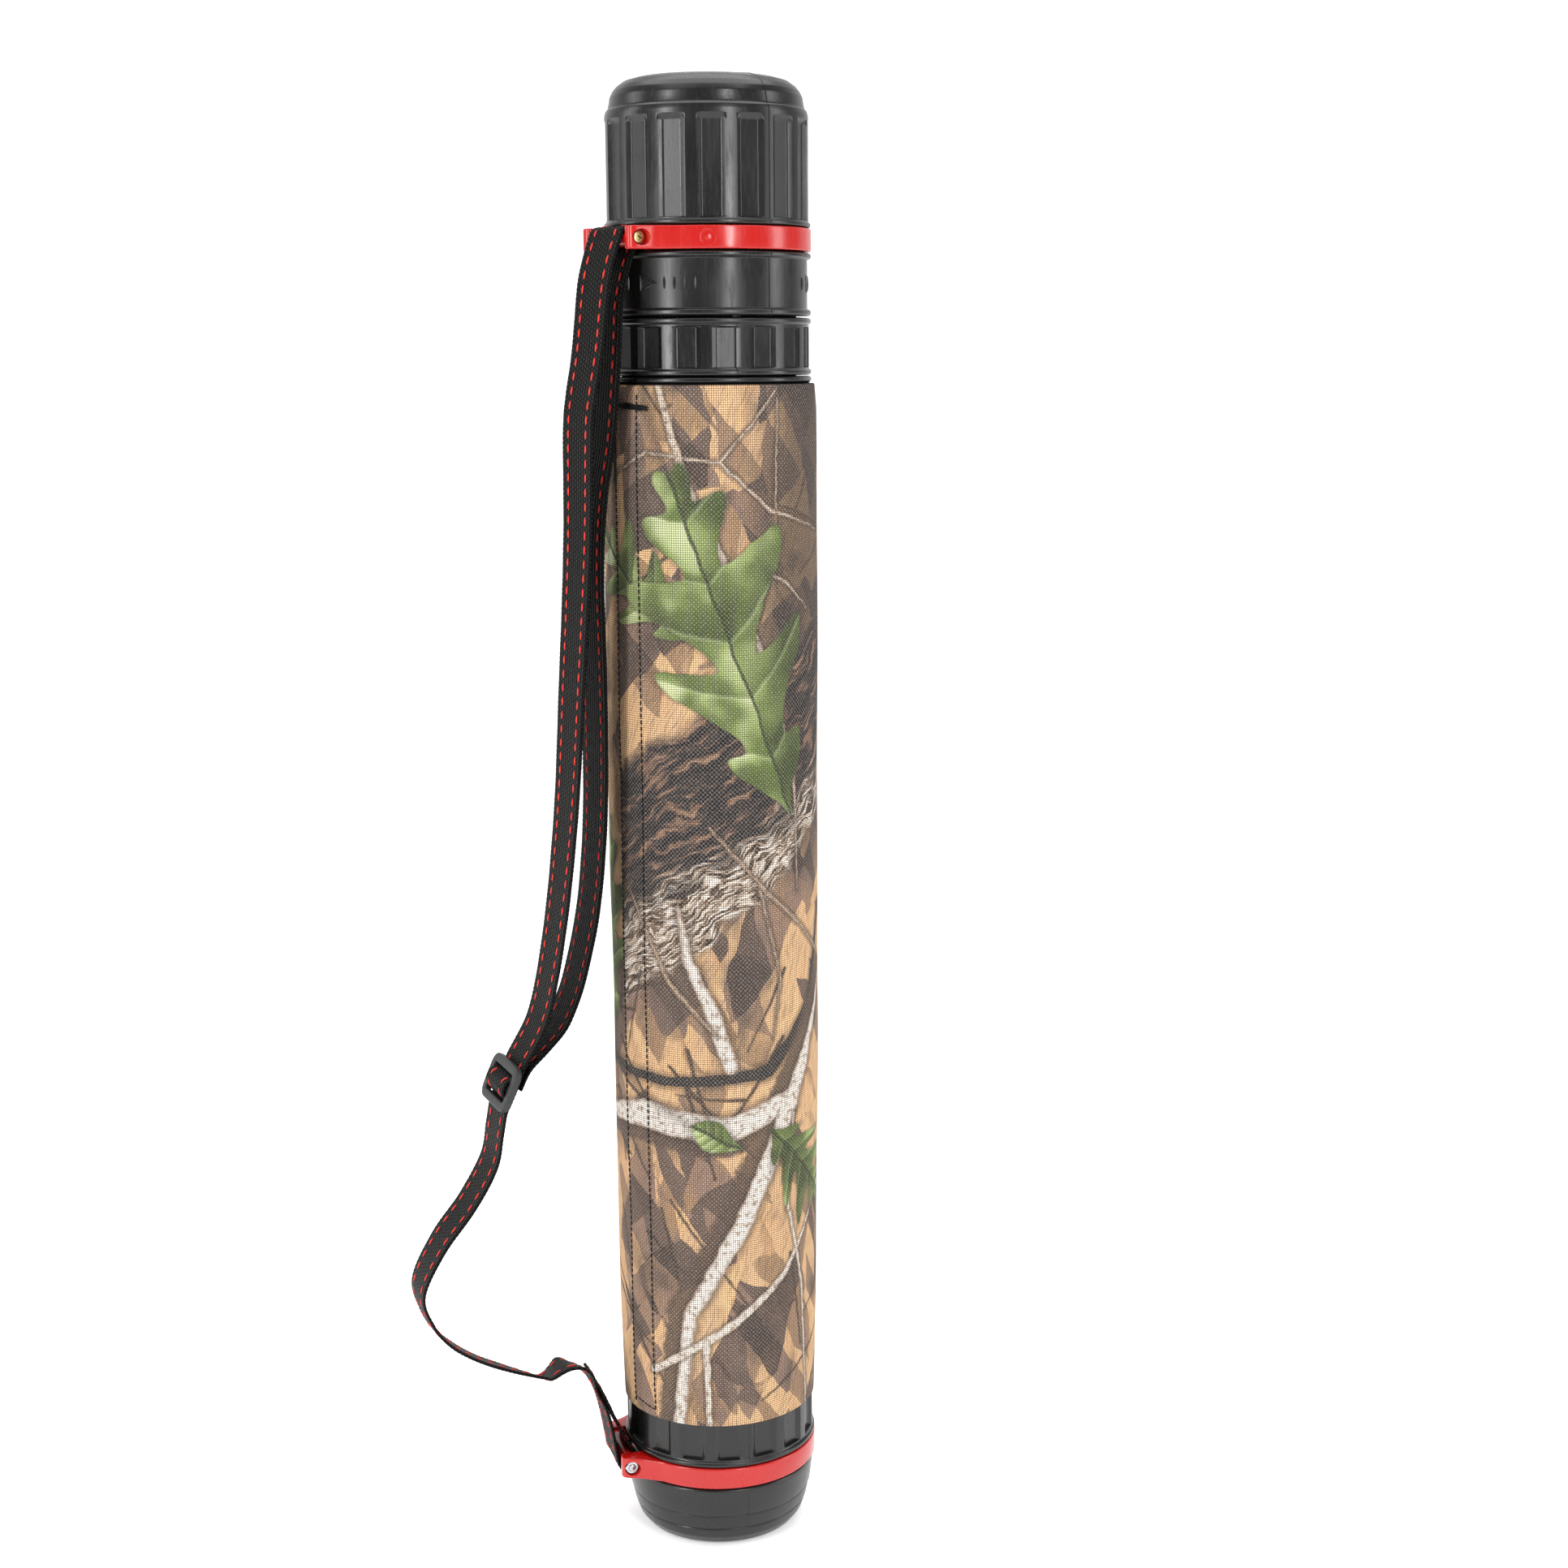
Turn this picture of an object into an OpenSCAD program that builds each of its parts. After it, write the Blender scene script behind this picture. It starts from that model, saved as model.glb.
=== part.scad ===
// Telescoping fishing-rod case: a fluted outer tube in a fabric sleeve, a sliding inner tube with a
// ribbed head, a domed bayonet lid, two clamp rings and an adjustable carrying strap.
// Millimetres, +Z up. The origin is on the tube's axis, on the surface that the base rests on.

/* [Tube] */
// Radius over the flute crests
crest_r = 42.4; // [42.2:0.1:42.8]
// Radius of the outer tube's bore
outer_bore_r = 38.8; // [38.6:0.1:39]
// Outside radius of the inner tube
inner_r = 36.2; // [36:0.1:36.3]
// Wall of the inner tube
inner_wall = 2; // [1.6:0.1:2.4]
// Number of flutes around the tube
flute_count = 16; // [12:1:16]
// Depth of a flute below the crests
flute_depth = 1.8; // [1.2:0.1:1.9]

/* [Heights] */
// Height of the whole case when it is closed
total_h = 639; // [637:1:641]
// Top of the outer tube's mouth bead
outer_top_z = 516.4; // [516:0.1:516.6]
// Lower end of the inner tube
inner_foot_z = 60; // [50:1:70]
// How far the inner tube slides out
extension = 380; // [342:19:380]

/* [Rings] */
// Outside radius of a clamp ring
ring_r = 43.5; // [43.3:0.1:43.7]
// Height of a clamp ring
ring_h = 9.3; // [9:0.1:9.4]
// Heading of the lower ring's strap bar
lower_heading = 15; // [5:1:25]
// Heading of the upper ring's strap bar
upper_heading = 34.5; // [25:0.5:44]

/* [Sleeve] */
// Lowest edge of the fabric sleeve
sleeve_low_z = 60.5; // [58:0.5:64]
// Thickness of the sleeve's cloth
cloth_t = 1.2; // [0.8:0.1:1.4]

/* [Strap] */
// Width of the webbing
strap_w = 25; // [20:1:25]
// Thickness of the webbing
strap_t = 1.5; // [1.2:0.1:1.5]

/* [Hidden] */
$fn = 96;

black = "#2b2b2d";
red = "#d3201a";
steel = "#c4c7c9";
brass = "#c9b458";
cloth = "#b08e74";
foam = "#55565a";
webbing = "#1d1e1d";

play = 0.3;               // gap between pieces that pass each other
bead_r = 43.4;            // beads that frame the bands and grooves
groove_r = 40.4;          // floor of both ring grooves
floor_r = crest_r - flute_depth;
flute_open_w = 13;        // width of a flute at the crests
flute_floor_w = 7.8;      // width of a flute's flat floor
flute_step = 360 / flute_count;
outer_phase = 5.5;        // turn of each band's first flute
head_phase = 10;
lid_phase = 2.6;

// Outer tube
base_r = 31;              // outside of the flat that the case stands on
base_groove_r = 25;       // middle of the groove moulded into that flat
base_floor_z = 5.5;       // floor inside the base
lower_groove_z = 30.7;
groove_h = ring_h + 2 * 0.35;
lower_band_z = lower_groove_z + groove_h;
bead_h = 2.5;
pad_t = 10;

// Inner tube's head, neck and locking ladder
head_z = outer_top_z + 0.5;
head_top_z = 540.7;
neck_r = inner_r + 0.8;
neck_top_z = 565;
ledge_r = 39;
ledge_z = 554.2;
ledge_h = 4;
key_count = 3;            // channels around the neck and around the ladder
neck_gap_a = 34;          // opening between two ledges
lid_lug_a = 26;
lid_lug_h = 4.3;
turn_a = 30;              // how far the lid turns to lock
tooth_z = 506;            // teeth inside the outer tube's mouth
tooth_h = 6;
tooth_a = 12;
rung_pitch = 19;
rung_h = 5;
rung_gap = (rung_pitch - rung_h - tooth_h) / 2;
channel_back_a = 18;      // each tooth runs in a channel from this far behind it
channel_front_a = 8;      // to this far ahead, where a rib closes it
lock_a = 38;              // the tooth meets a second rib this far round, when it is locked
rib_a = 3;
ladder_r = outer_bore_r - play;
first_rung_z = tooth_z + tooth_h + rung_gap - rung_pitch;
rung_count = floor(extension / rung_pitch);
stop_h = 6;
stop_z = tooth_z - extension - play - stop_h;

// Lid
lid_z = 541.2;
lid_bore_r = ledge_r + play;
upper_groove_z = 567.2;
cap_z = upper_groove_z + groove_h;
cap_band_top_z = 625;
lid_wall = 2.4;

// Clamp rings and their bolts, in a frame whose x points out along the ring's heading
ring_bore_r = groove_r + 0.55;
bar_x = 46;               // distance of the strap bar from the tube's axis
bar_r = 3.6;
lug_in = 13.2;            // inner faces of the lugs, each side of the strap
lug_out = 19.4;
bolt_r = 1.5;
bolt_clear_r = 1.6;
head_r = 2.75;
head_h = 1.8;
nut_af = 5.5;
nut_h = 2.4;
recess_r = 3.3;
recess_y = 17;

// Strap: route points are [distance from the axis, height, lean of the webbing's width if any]
slider_at = [99.4, 217.8];
slider_lean = 23.5;       // lean of the slider from upright
slider_l = 20;
slider_w = 33;
slider_t = 3.2;
slot_w = 26.5;
slot_in = 1.8;
slot_out = 7;
wrap_t = 1.3;
loop_r = bar_r + 0.1 + strap_t / 2;
lower_bar_z = lower_groove_z + groove_h / 2;
upper_bar_z = upper_groove_z + groove_h / 2;

lower_inner_leg = [[60.5, 74.6], [58.5, 71.6], [54.5, 62.6], [52, 56.5], [48.5, 49], [44.9, 42.2]];
lower_outer_leg = [[51.6, 42], [53.4, 52], [56, 62], [60, 71]];
lower_run = [
    [60.3, 71.35], [63, 76, -10], [66.8, 79.6, -16], [71, 81.2, -12], [75, 80.6, -9],
    [79, 77.6, -14], [82.5, 76.4, -20], [88, 78.6, -18], [98, 83, -15], [109, 88.4, -13],
    [119, 95, -10], [127, 102.4, -7], [133.5, 113, -3], [137, 128], [128, 147.5], [115, 165],
    [105.3, 182.5], [102.6, 197], [100.9, 207], [99.2, 211]
];
outer_layer = [
    [94.3, 222.3], [92.6, 226.9], [83.5, 243.5], [78.5, 263], [74, 291], [71, 318], [68.8, 345],
    [66.8, 385], [64.7, 425], [63.6, 457], [63.4, 495], [62, 509], [58.8, 528], [55.7, 555.5]
];
inner_layer = [
    [94.5, 216.8], [90.2, 225.3], [83, 232.4], [75.5, 240.2], [71, 248.2], [66, 262], [60, 289],
    [57, 317], [55.9, 344], [56.1, 371], [56.8, 398], [58, 430], [57.9, 450], [56.4, 470],
    [53.4, 489], [51.8, 508], [50.6, 530], [50, 545], [47.9, 555.5]
];
upper_inner_leg = [[47.8, 556], [44.8, 565.8]];
upper_outer_leg = [[55.6, 556]];

// Points of an arc from angle a0 to a1, in n steps
function arc(cx, cy, r, a0, a1, n) =
    [for (i = [0:n]) let (a = a0 + (a1 - a0) * i / n) [cx + r * cos(a), cy + r * sin(a)]];

// Heading of the strap at height z: it turns evenly from the lower ring's to the upper ring's
function heading(z) =
    lower_heading + (upper_heading - lower_heading) * (z - lower_bar_z) / (upper_bar_z - lower_bar_z);

// A point given by distance from the axis, shift across the strap and height
function out_at(r, across, z) =
    let (a = 180 + heading(z)) [r * cos(a) - across * sin(a), r * sin(a) + across * cos(a), z];

function unit(v) = v / norm(v);

// Direction of a route at its point i
function along(route, i) =
    let (step = route[min(i + 1, len(route) - 1)] - route[max(i - 1, 0)]) unit([step[0], step[1]]);

// The four corners of the webbing at a route's point i
function strap_ring(route, i, t) =
    let (p = route[i], d = along(route, i), lean = len(p) > 2 ? p[2] : 0,
         face = [cos(lean), -sin(lean)] * t / 2, edge = [sin(lean), cos(lean)] * strap_w / 2)
    [for (k = [[1, -1], [1, 1], [-1, 1], [-1, -1]])
        let (q = k[0] * face + k[1] * edge) out_at(p[0] + d[1] * q[0], q[1], p[1] - d[0] * q[0])];

// Webbing swept along a route
module strap(route) {
    n = len(route);
    points = [for (i = [0:n - 1]) each strap_ring(route, i, strap_t)];
    sides = [for (i = [0:n - 2], k = [0:3]) let (a = 4 * i + k, b = 4 * i + (k + 1) % 4)
        each [[a, b, b + 4], [a, b + 4, a + 4]]];
    last = 4 * (n - 1);
    polyhedron(
        points,
        concat([[3, 2, 1], [3, 1, 0]], sides, [[last, last + 1, last + 2], [last, last + 2, last + 3]]),
        convexity = 6
    );
}

// Turns a piece to a ring's heading
module at_heading(a) {
    rotate([0, 0, 180 + a]) children();
}

// A flat ring from z, h high
module hoop(r_out, r_in, z, h) {
    translate([0, 0, z])
        difference() {
            cylinder(h = h, r = r_out);
            translate([0, 0, -1]) cylinder(h = h + 2, r = r_in);
        }
}

// A sector of a full turn, from angle a0 to a1 (less than half a turn)
module wedge(a0, a1, r, z, h) {
    reach = r / cos((a1 - a0) / 2);
    translate([0, 0, z])
        linear_extrude(h)
            polygon([[0, 0], [reach * cos(a0), reach * sin(a0)], [reach * cos(a1), reach * sin(a1)]]);
}

// Flat-floored flutes with sloping sides, cut all round
module flutes(z, h, first) {
    out = crest_r + 2;
    slope = (flute_open_w - flute_floor_w) / 2 / flute_depth;
    open_w = flute_floor_w / 2 + slope * (out - floor_r);
    for (i = [0:flute_count - 1])
        rotate([0, 0, first + i * flute_step])
            translate([0, 0, z])
                linear_extrude(h)
                    polygon([
                        [floor_r, -flute_floor_w / 2], [out, -open_w],
                        [out, open_w], [floor_r, flute_floor_w / 2]
                    ]);
}

// Bevelled bead that stands out of the wall
function bead(z, h, r) =
    [[r - 0.7, z], [r, z + 0.6], [r, z + h - 0.6], [r - 0.7, z + h]];

module outer_tube() {
    dome = [[base_r, 0], [34.8, 1.4], [37.6, 5], [38.9, 9.6], [39.5, 10], [40.2, 16.2],
            [40.9, 16.6], [41.7, 22], [42.4, 27.6], [42.2, 29.4], [groove_r, lower_groove_z]];
    outline = concat(
        [[0, 0], [base_groove_r - 1, 0], [base_groove_r - 0.5, 0.8], [base_groove_r + 0.5, 0.8],
         [base_groove_r + 1, 0]],
        dome,
        [[groove_r, lower_band_z]],
        bead(lower_band_z, bead_h, bead_r),
        [[crest_r, lower_band_z + bead_h + 0.4], [crest_r, outer_top_z - 2.9]],
        bead(outer_top_z - 2.5, 2.5, bead_r),
        [[outer_bore_r, outer_top_z], [outer_bore_r, 24], [36.5, 12], [32, base_floor_z + 1.5],
         [28, base_floor_z], [0, base_floor_z]]
    );
    color(black)
        union() {
            difference() {
                rotate_extrude() polygon(outline);
                flutes(lower_band_z + bead_h + 1, outer_top_z - lower_band_z - bead_h - 6, outer_phase);
            }
            // Teeth in the mouth that run in the inner tube's channels
            intersection() {
                hoop(outer_bore_r + 0.5, neck_r + play, tooth_z, tooth_h);
                union()
                    for (i = [0:key_count - 1])
                        wedge(i * 120 - tooth_a / 2, i * 120 + tooth_a / 2, 60, tooth_z - 1, tooth_h + 2);
            }
        }
}

module base_pad() {
    color(foam)
        translate([0, 0, base_floor_z + 0.1])
            rotate_extrude()
                polygon([[0, 0], [27, 0], [30.5, 2.6], [34.5, 7], [35.3, pad_t], [0, pad_t]]);
}

// Outside radius of the sleeve against height: it hangs loose and is drawn in at the hems
sleeve_side = [[43.4, sleeve_low_z], [43.9, 75], [44.6, 110], [45.2, 180], [45.8, 300],
               [46, 430], [45.7, 503], [45, 513.3]];

module fabric_sleeve() {
    inside = [for (i = [len(sleeve_side) - 1:-1:0])
        [max(sleeve_side[i][0] - cloth_t, crest_r + 0.1), sleeve_side[i][1]]];
    color(cloth)
        rotate_extrude()
            polygon(concat(sleeve_side, inside));
}

// Strip sewn over the sleeve's closing seam
module seam_strip() {
    strip_t = 0.7;
    outside = [for (p = sleeve_side) [p[0] + strip_t, p[1]]];
    inside = [for (i = [len(sleeve_side) - 1:-1:0]) sleeve_side[i] + [0.02, 0]];
    color(cloth)
        intersection() {
            rotate_extrude() polygon(concat(outside, inside));
            wedge(180 + 30, 180 + 51, 60, sleeve_low_z + 0.5, 512 - sleeve_low_z);
        }
}

// Clamp ring: a split band whose ends stand out as lugs with a strap bar between them
module clamp_ring(z) {
    mid = ring_h / 2;
    color(red)
        translate([0, 0, z])
            difference() {
                union() {
                    difference() {
                        cylinder(h = ring_h, r = ring_r);
                        translate([0, -lug_in, -1]) cube([60, 2 * lug_in, ring_h + 2]);
                    }
                    for (side = [-1, 1])
                        mirror([0, side > 0 ? 0 : 1, 0])
                            linear_extrude(ring_h)
                                polygon([
                                    [38.5, lug_in], [49.6, lug_in], [50.2, lug_in + 1.5], [50.2, 17.8],
                                    [48.6, lug_out], [41.6, 22.4], [33.6, 27.6], [31.2, 25.6]
                                ]);
                    translate([bar_x, -lug_in + play, mid])
                        rotate([-90, 0, 0])
                            cylinder(h = 2 * lug_in - play + 1, r = bar_r);
                }
                translate([0, 0, -1]) cylinder(h = ring_h + 2, r = ring_bore_r);
                translate([bar_x, -30, mid]) rotate([-90, 0, 0]) cylinder(h = 60, r = bolt_clear_r);
                for (side = [-1, 1])
                    mirror([0, side > 0 ? 0 : 1, 0])
                        translate([bar_x, recess_y, mid])
                            rotate([-90, 0, 0])
                                cylinder(h = 20, r = recess_r);
            }
}

// Pan-head bolt through both lugs, with its head on the +y side
module clamp_bolt(z) {
    color(steel)
        translate([bar_x, 0, z + ring_h / 2])
            rotate([-90, 0, 0])
                difference() {
                    union() {
                        translate([0, 0, -recess_y - nut_h])
                            cylinder(h = 2 * recess_y + nut_h + 0.5, r = bolt_r);
                        translate([0, 0, recess_y]) cylinder(h = head_h, r1 = head_r, r2 = head_r - 0.5);
                    }
                    // Cross slot
                    for (a = [0, 90])
                        rotate([0, 0, a])
                            translate([-1.5, -0.3, recess_y + head_h - 0.8])
                                cube([3, 0.6, 2]);
                }
}

module clamp_nut(z) {
    color(steel)
        translate([bar_x, -recess_y - nut_h + 0.1, z + ring_h / 2])
            rotate([-90, 0, 0])
                difference() {
                    cylinder(h = nut_h - 0.15, r = nut_af / sqrt(3), $fn = 6);
                    translate([0, 0, -1]) cylinder(h = nut_h + 2, r = bolt_r + 0.02);
                }
}

lower_ring_z = lower_groove_z + 0.35;
upper_ring_z = upper_groove_z + 0.35;

module bottom_ring() {
    at_heading(lower_heading) clamp_ring(lower_ring_z);
}

// The lower bolt is put in the other way round, so its nut is the end that faces the front
module bottom_ring_bolt() {
    at_heading(lower_heading) mirror([0, 1, 0]) clamp_bolt(lower_ring_z);
}

module bottom_ring_nut() {
    at_heading(lower_heading) mirror([0, 1, 0]) clamp_nut(lower_ring_z);
}

module top_ring() {
    at_heading(upper_heading) clamp_ring(upper_ring_z);
}

module top_ring_bolt() {
    at_heading(upper_heading) clamp_bolt(upper_ring_z);
}

module top_ring_nut() {
    at_heading(upper_heading) clamp_nut(upper_ring_z);
}

// Rungs that the outer tube's teeth lock between, and the ribs that bound each channel
module ladder() {
    low = first_rung_z - (rung_count - 1) * rung_pitch;
    high = first_rung_z + rung_h;
    intersection() {
        union() {
            for (i = [0:rung_count - 1])
                hoop(ladder_r, inner_r - 0.5, first_rung_z - i * rung_pitch, rung_h);
        }
        union()
            for (i = [0:key_count - 1])
                wedge(i * 120 - lock_a - 1, i * 120 - channel_back_a, 60, 0, total_h);
    }
    intersection() {
        hoop(ladder_r, inner_r - 0.5, low - 1, high - low + 2);
        union()
            for (i = [0:key_count - 1], a = [-lock_a - rib_a, channel_front_a])
                wedge(i * 120 + a, i * 120 + a + rib_a, 60, 0, total_h);
    }
}

module inner_tube() {
    bore_r = inner_r - inner_wall;
    turned = turn_a + lid_lug_a / 2;
    outline = concat(
        [[bore_r, inner_foot_z], [ladder_r, inner_foot_z], [ladder_r, inner_foot_z + 6],
         [inner_r, inner_foot_z + 9], [inner_r, head_z - 3], [neck_r, head_z]],
        bead(head_z, bead_h, bead_r),
        [[crest_r, head_z + bead_h + 0.3], [crest_r, head_top_z - 3.2]],
        bead(head_top_z - 2.9, 2.5, bead_r - 0.1),
        [[neck_r, head_top_z], [neck_r, neck_top_z - 1], [neck_r - 1, neck_top_z],
         [bore_r, neck_top_z]]
    );
    color(black)
        union() {
            difference() {
                rotate_extrude() polygon(outline);
                flutes(head_z + bead_h + 0.6, head_top_z - head_z - bead_h - 4.1, head_phase);
            }
            ladder();
            hoop(ladder_r, inner_r - 0.5, stop_z, stop_h);
            // Ledges that hold the lid's lugs down, and a stop at the end of the turn
            difference() {
                union() {
                    hoop(ledge_r, neck_r - 0.5, ledge_z, ledge_h);
                    intersection() {
                        hoop(ledge_r, neck_r - 0.5, head_top_z - 0.5, ledge_z - head_top_z + 1);
                        union()
                            for (i = [0:key_count - 1])
                                wedge(i * 120 + turned + 1, i * 120 + turned + 7, 60, 0, total_h);
                    }
                }
                for (i = [0:key_count - 1])
                    wedge(i * 120 - neck_gap_a / 2, i * 120 + neck_gap_a / 2, 60, 0, total_h);
            }
        }
}

module lid() {
    crown = [[40.9, cap_band_top_z + 0.6], [40.5, 627.5], [40.1, 630], [39, 632.3], [37.4, 634.2],
             [34.5, 636.3], [30, 637.6], [22, 638.5], [12, total_h - 0.1], [0, total_h]];
    inside = [[0, total_h - lid_wall], [28, 635.2], [34, 633.2], [37, 630], [38, 625],
              [38.4, 620], [lid_bore_r, 590], [lid_bore_r, lid_z]];
    outline = concat(
        bead(lid_z, 2.7, bead_r - 0.1),
        [[41.8, lid_z + 2.9], [41.8, upper_groove_z - 2.9]],
        bead(upper_groove_z - 2.7, 2.4, bead_r),
        [[groove_r, upper_groove_z], [groove_r, cap_z]],
        bead(cap_z, 2.4, bead_r - 0.2),
        [[crest_r, cap_z + 2.6], [crest_r, cap_band_top_z - 2.5], [41.9, cap_band_top_z - 0.6],
         [41.2, cap_band_top_z]],
        crown,
        inside
    );
    color(black)
        union() {
            difference() {
                rotate_extrude() polygon(outline);
                flutes(cap_z + 2.9, cap_band_top_z - 4.2 - cap_z - 2.9, lid_phase);
            }
            // Bayonet lugs
            intersection() {
                hoop(lid_bore_r + 0.5, neck_r + play, ledge_z - 0.4 - lid_lug_h, lid_lug_h);
                union()
                    for (i = [0:key_count - 1])
                        wedge(i * 120 - lid_lug_a / 2, i * 120 + lid_lug_a / 2, 60, 0, total_h);
            }
        }
}

module lid_pad() {
    color(foam)
        rotate_extrude()
            polygon([[0, 624], [37.4, 624], [37, 627], [35.5, 630.5], [33, 632.9], [27.8, 634.8],
                     [0, total_h - lid_wall - 0.2]]);
}

module strap_bottom_loop() {
    wrap = arc(bar_x, lower_bar_z, loop_r, 159, 347, 12);
    color(webbing) strap(concat(lower_inner_leg, wrap, lower_outer_leg));
}

module strap_lower_run() {
    color(webbing) strap(lower_run);
}

module strap_outer_layer() {
    color(webbing) strap(outer_layer);
}

module strap_inner_layer() {
    color(webbing) strap(inner_layer);
}

module strap_top_loop() {
    wrap = arc(bar_x, upper_bar_z, loop_r, 207, 18, 12);
    color(webbing) strap(concat(upper_inner_leg, wrap, upper_outer_leg));
}

// Puts a piece drawn about the slider's centre (x across, y up the strap, z outwards) in place
module at_slider() {
    at_heading(heading(slider_at[1]))
        translate([slider_at[0], 0, slider_at[1]])
            rotate([0, -slider_lean, 0])
                rotate([90, 0, 90])
                    children();
}

// Three-bar slider that the webbing is woven through
module strap_slider() {
    corner = 3.5;
    color("#343436")
        at_slider()
            difference() {
                translate([0, 0, -slider_t / 2])
                    linear_extrude(slider_t)
                        union() {
                            square([slider_w - 2 * corner, slider_l], center = true);
                            square([slider_w, slider_l - 2 * corner], center = true);
                            for (x = [-1, 1], y = [-1, 1])
                                translate([x * (slider_w / 2 - corner), y * (slider_l / 2 - corner)])
                                    circle(r = corner);
                        }
                for (side = [-1, 1])
                    translate([-slot_w / 2, side > 0 ? slot_in : -slot_out, -slider_t])
                        cube([slot_w, slot_out - slot_in, 2 * slider_t]);
            }
}

// Turn of webbing over the slider's middle bar
module strap_slider_wrap() {
    top = slider_t / 2 + wrap_t / 2 + 0.2;
    half = wrap_t / 2;
    side = [[5.2, -1.2], [3.9, 0.8], [2, top]];
    path = concat([for (p = side) [-p[0], p[1]]], [for (i = [2:-1:0]) side[i]]);
    n = len(path);
    normals = [for (i = [0:n - 1]) let (d = along(path, i)) [-d[1], d[0]] * half];
    color(webbing)
        at_slider()
            rotate([90, 0, 90])
                translate([0, 0, -strap_w / 2])
                    linear_extrude(strap_w)
                        polygon(concat(
                            [for (i = [0:n - 1]) path[i] + normals[i]],
                            [for (i = [n - 1:-1:0]) path[i] - normals[i]]
                        ));
}

outer_tube();
base_pad();
fabric_sleeve();
seam_strip();
bottom_ring();
bottom_ring_bolt();
bottom_ring_nut();
inner_tube();
lid();
lid_pad();
top_ring();
top_ring_bolt();
top_ring_nut();
strap_bottom_loop();
strap_lower_run();
strap_outer_layer();
strap_inner_layer();
strap_top_loop();
strap_slider();
strap_slider_wrap();
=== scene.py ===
"""Looks of a telescoping fishing-rod case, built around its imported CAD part."""

from math import asin, atan2, copysign, cos, degrees, hypot, pi, radians, sin, sqrt
from random import Random

import bmesh
import bpy
import numpy as np
from mathutils import Matrix, Vector


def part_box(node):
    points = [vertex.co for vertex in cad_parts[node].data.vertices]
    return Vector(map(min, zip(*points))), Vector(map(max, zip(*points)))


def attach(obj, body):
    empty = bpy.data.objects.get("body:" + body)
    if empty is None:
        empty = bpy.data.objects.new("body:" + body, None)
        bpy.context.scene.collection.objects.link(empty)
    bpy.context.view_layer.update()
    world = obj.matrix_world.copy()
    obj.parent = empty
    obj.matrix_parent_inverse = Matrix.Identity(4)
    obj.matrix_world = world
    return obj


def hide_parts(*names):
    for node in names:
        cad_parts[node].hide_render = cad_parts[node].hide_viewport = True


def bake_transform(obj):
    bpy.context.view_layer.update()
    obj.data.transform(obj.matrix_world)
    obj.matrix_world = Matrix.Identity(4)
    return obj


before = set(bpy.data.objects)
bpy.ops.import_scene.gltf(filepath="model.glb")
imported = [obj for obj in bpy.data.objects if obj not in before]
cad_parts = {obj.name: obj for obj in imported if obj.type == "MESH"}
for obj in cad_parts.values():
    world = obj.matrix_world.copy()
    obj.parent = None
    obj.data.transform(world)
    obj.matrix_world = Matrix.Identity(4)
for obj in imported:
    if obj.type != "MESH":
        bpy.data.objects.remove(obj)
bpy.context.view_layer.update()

MM = 0.001
FRONT = 270  # heading of the front, in degrees from +X


def span(node):
    """Lowest and highest z of a CAD node, in millimetres."""
    low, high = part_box(node)
    return low.z / MM, high.z / MM


MOUTH = span("outer_tube")[1]
FOOT, NECK_TOP = span("inner_tube")
LID_LOW, CROWN = span("lid")
LOWER_RING = span("bottom_ring")
UPPER_RING = span("top_ring")
SLEEVE_LOW, SLEEVE_TOP = span("fabric_sleeve")
PAD_LOW, PAD_TOP = span("base_pad")

# Tubes
CREST_R = 42.4
FLUTE_DEPTH = 1.8
FLOOR_R = CREST_R - FLUTE_DEPTH
FLUTE_COUNT = 16
FLUTE_STEP = 360 / FLUTE_COUNT
FLUTE_FLOOR = 7.8
FLUTE_OPEN = 13.0
BEAD_R = 43.4
GROOVE_R = 40.4
COLLAR_R = 41.8
BORE_R = 38.8
INNER_R = 36.2
INNER_BORE_R = 34.2
NECK_R = 37.0
LADDER_R = 38.5
KEYS = (0, 120, 240)

# Clamp rings
LOWER_HEADING = 15
UPPER_HEADING = 34.5
RING_R = 43.5
RING_BORE_R = 40.95
BAR_X = 46
BAR_R = 3.6
LUG_IN = 13.2
LUG_OUT = 19.4
RECESS_Y = 17
RECESS_R = 3.3
THREAD_LEAD = 0.5
NUT_WIDTH = 5.5

# Lock and bayonet: heights, and the rungs of the three ladders
TOOTH = (506, 512)
STOP_COLLAR = (119.7, 125.7)
RUNG_TOP = 502
RUNG_HEIGHT = 5
RUNG_PITCH = 19
RUNG_COUNT = 20
LEDGE = (554.2, 558.2)
LID_LUG = (549.5, 553.8)

# Cloth
CLOTH_R = 45.2
PRINT_WIDTH = 142
THREAD_PITCH = 0.95
SEAM_LOW = 30  # headings of the seam strip's edges
SEAM_HIGH = 51

# Camera
LENS = 54.42
YAW, PITCH, ROLL = 1.7377, 10.369, -0.3
CAMERA_AT = (0, -1.0201, 0.52705)

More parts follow.
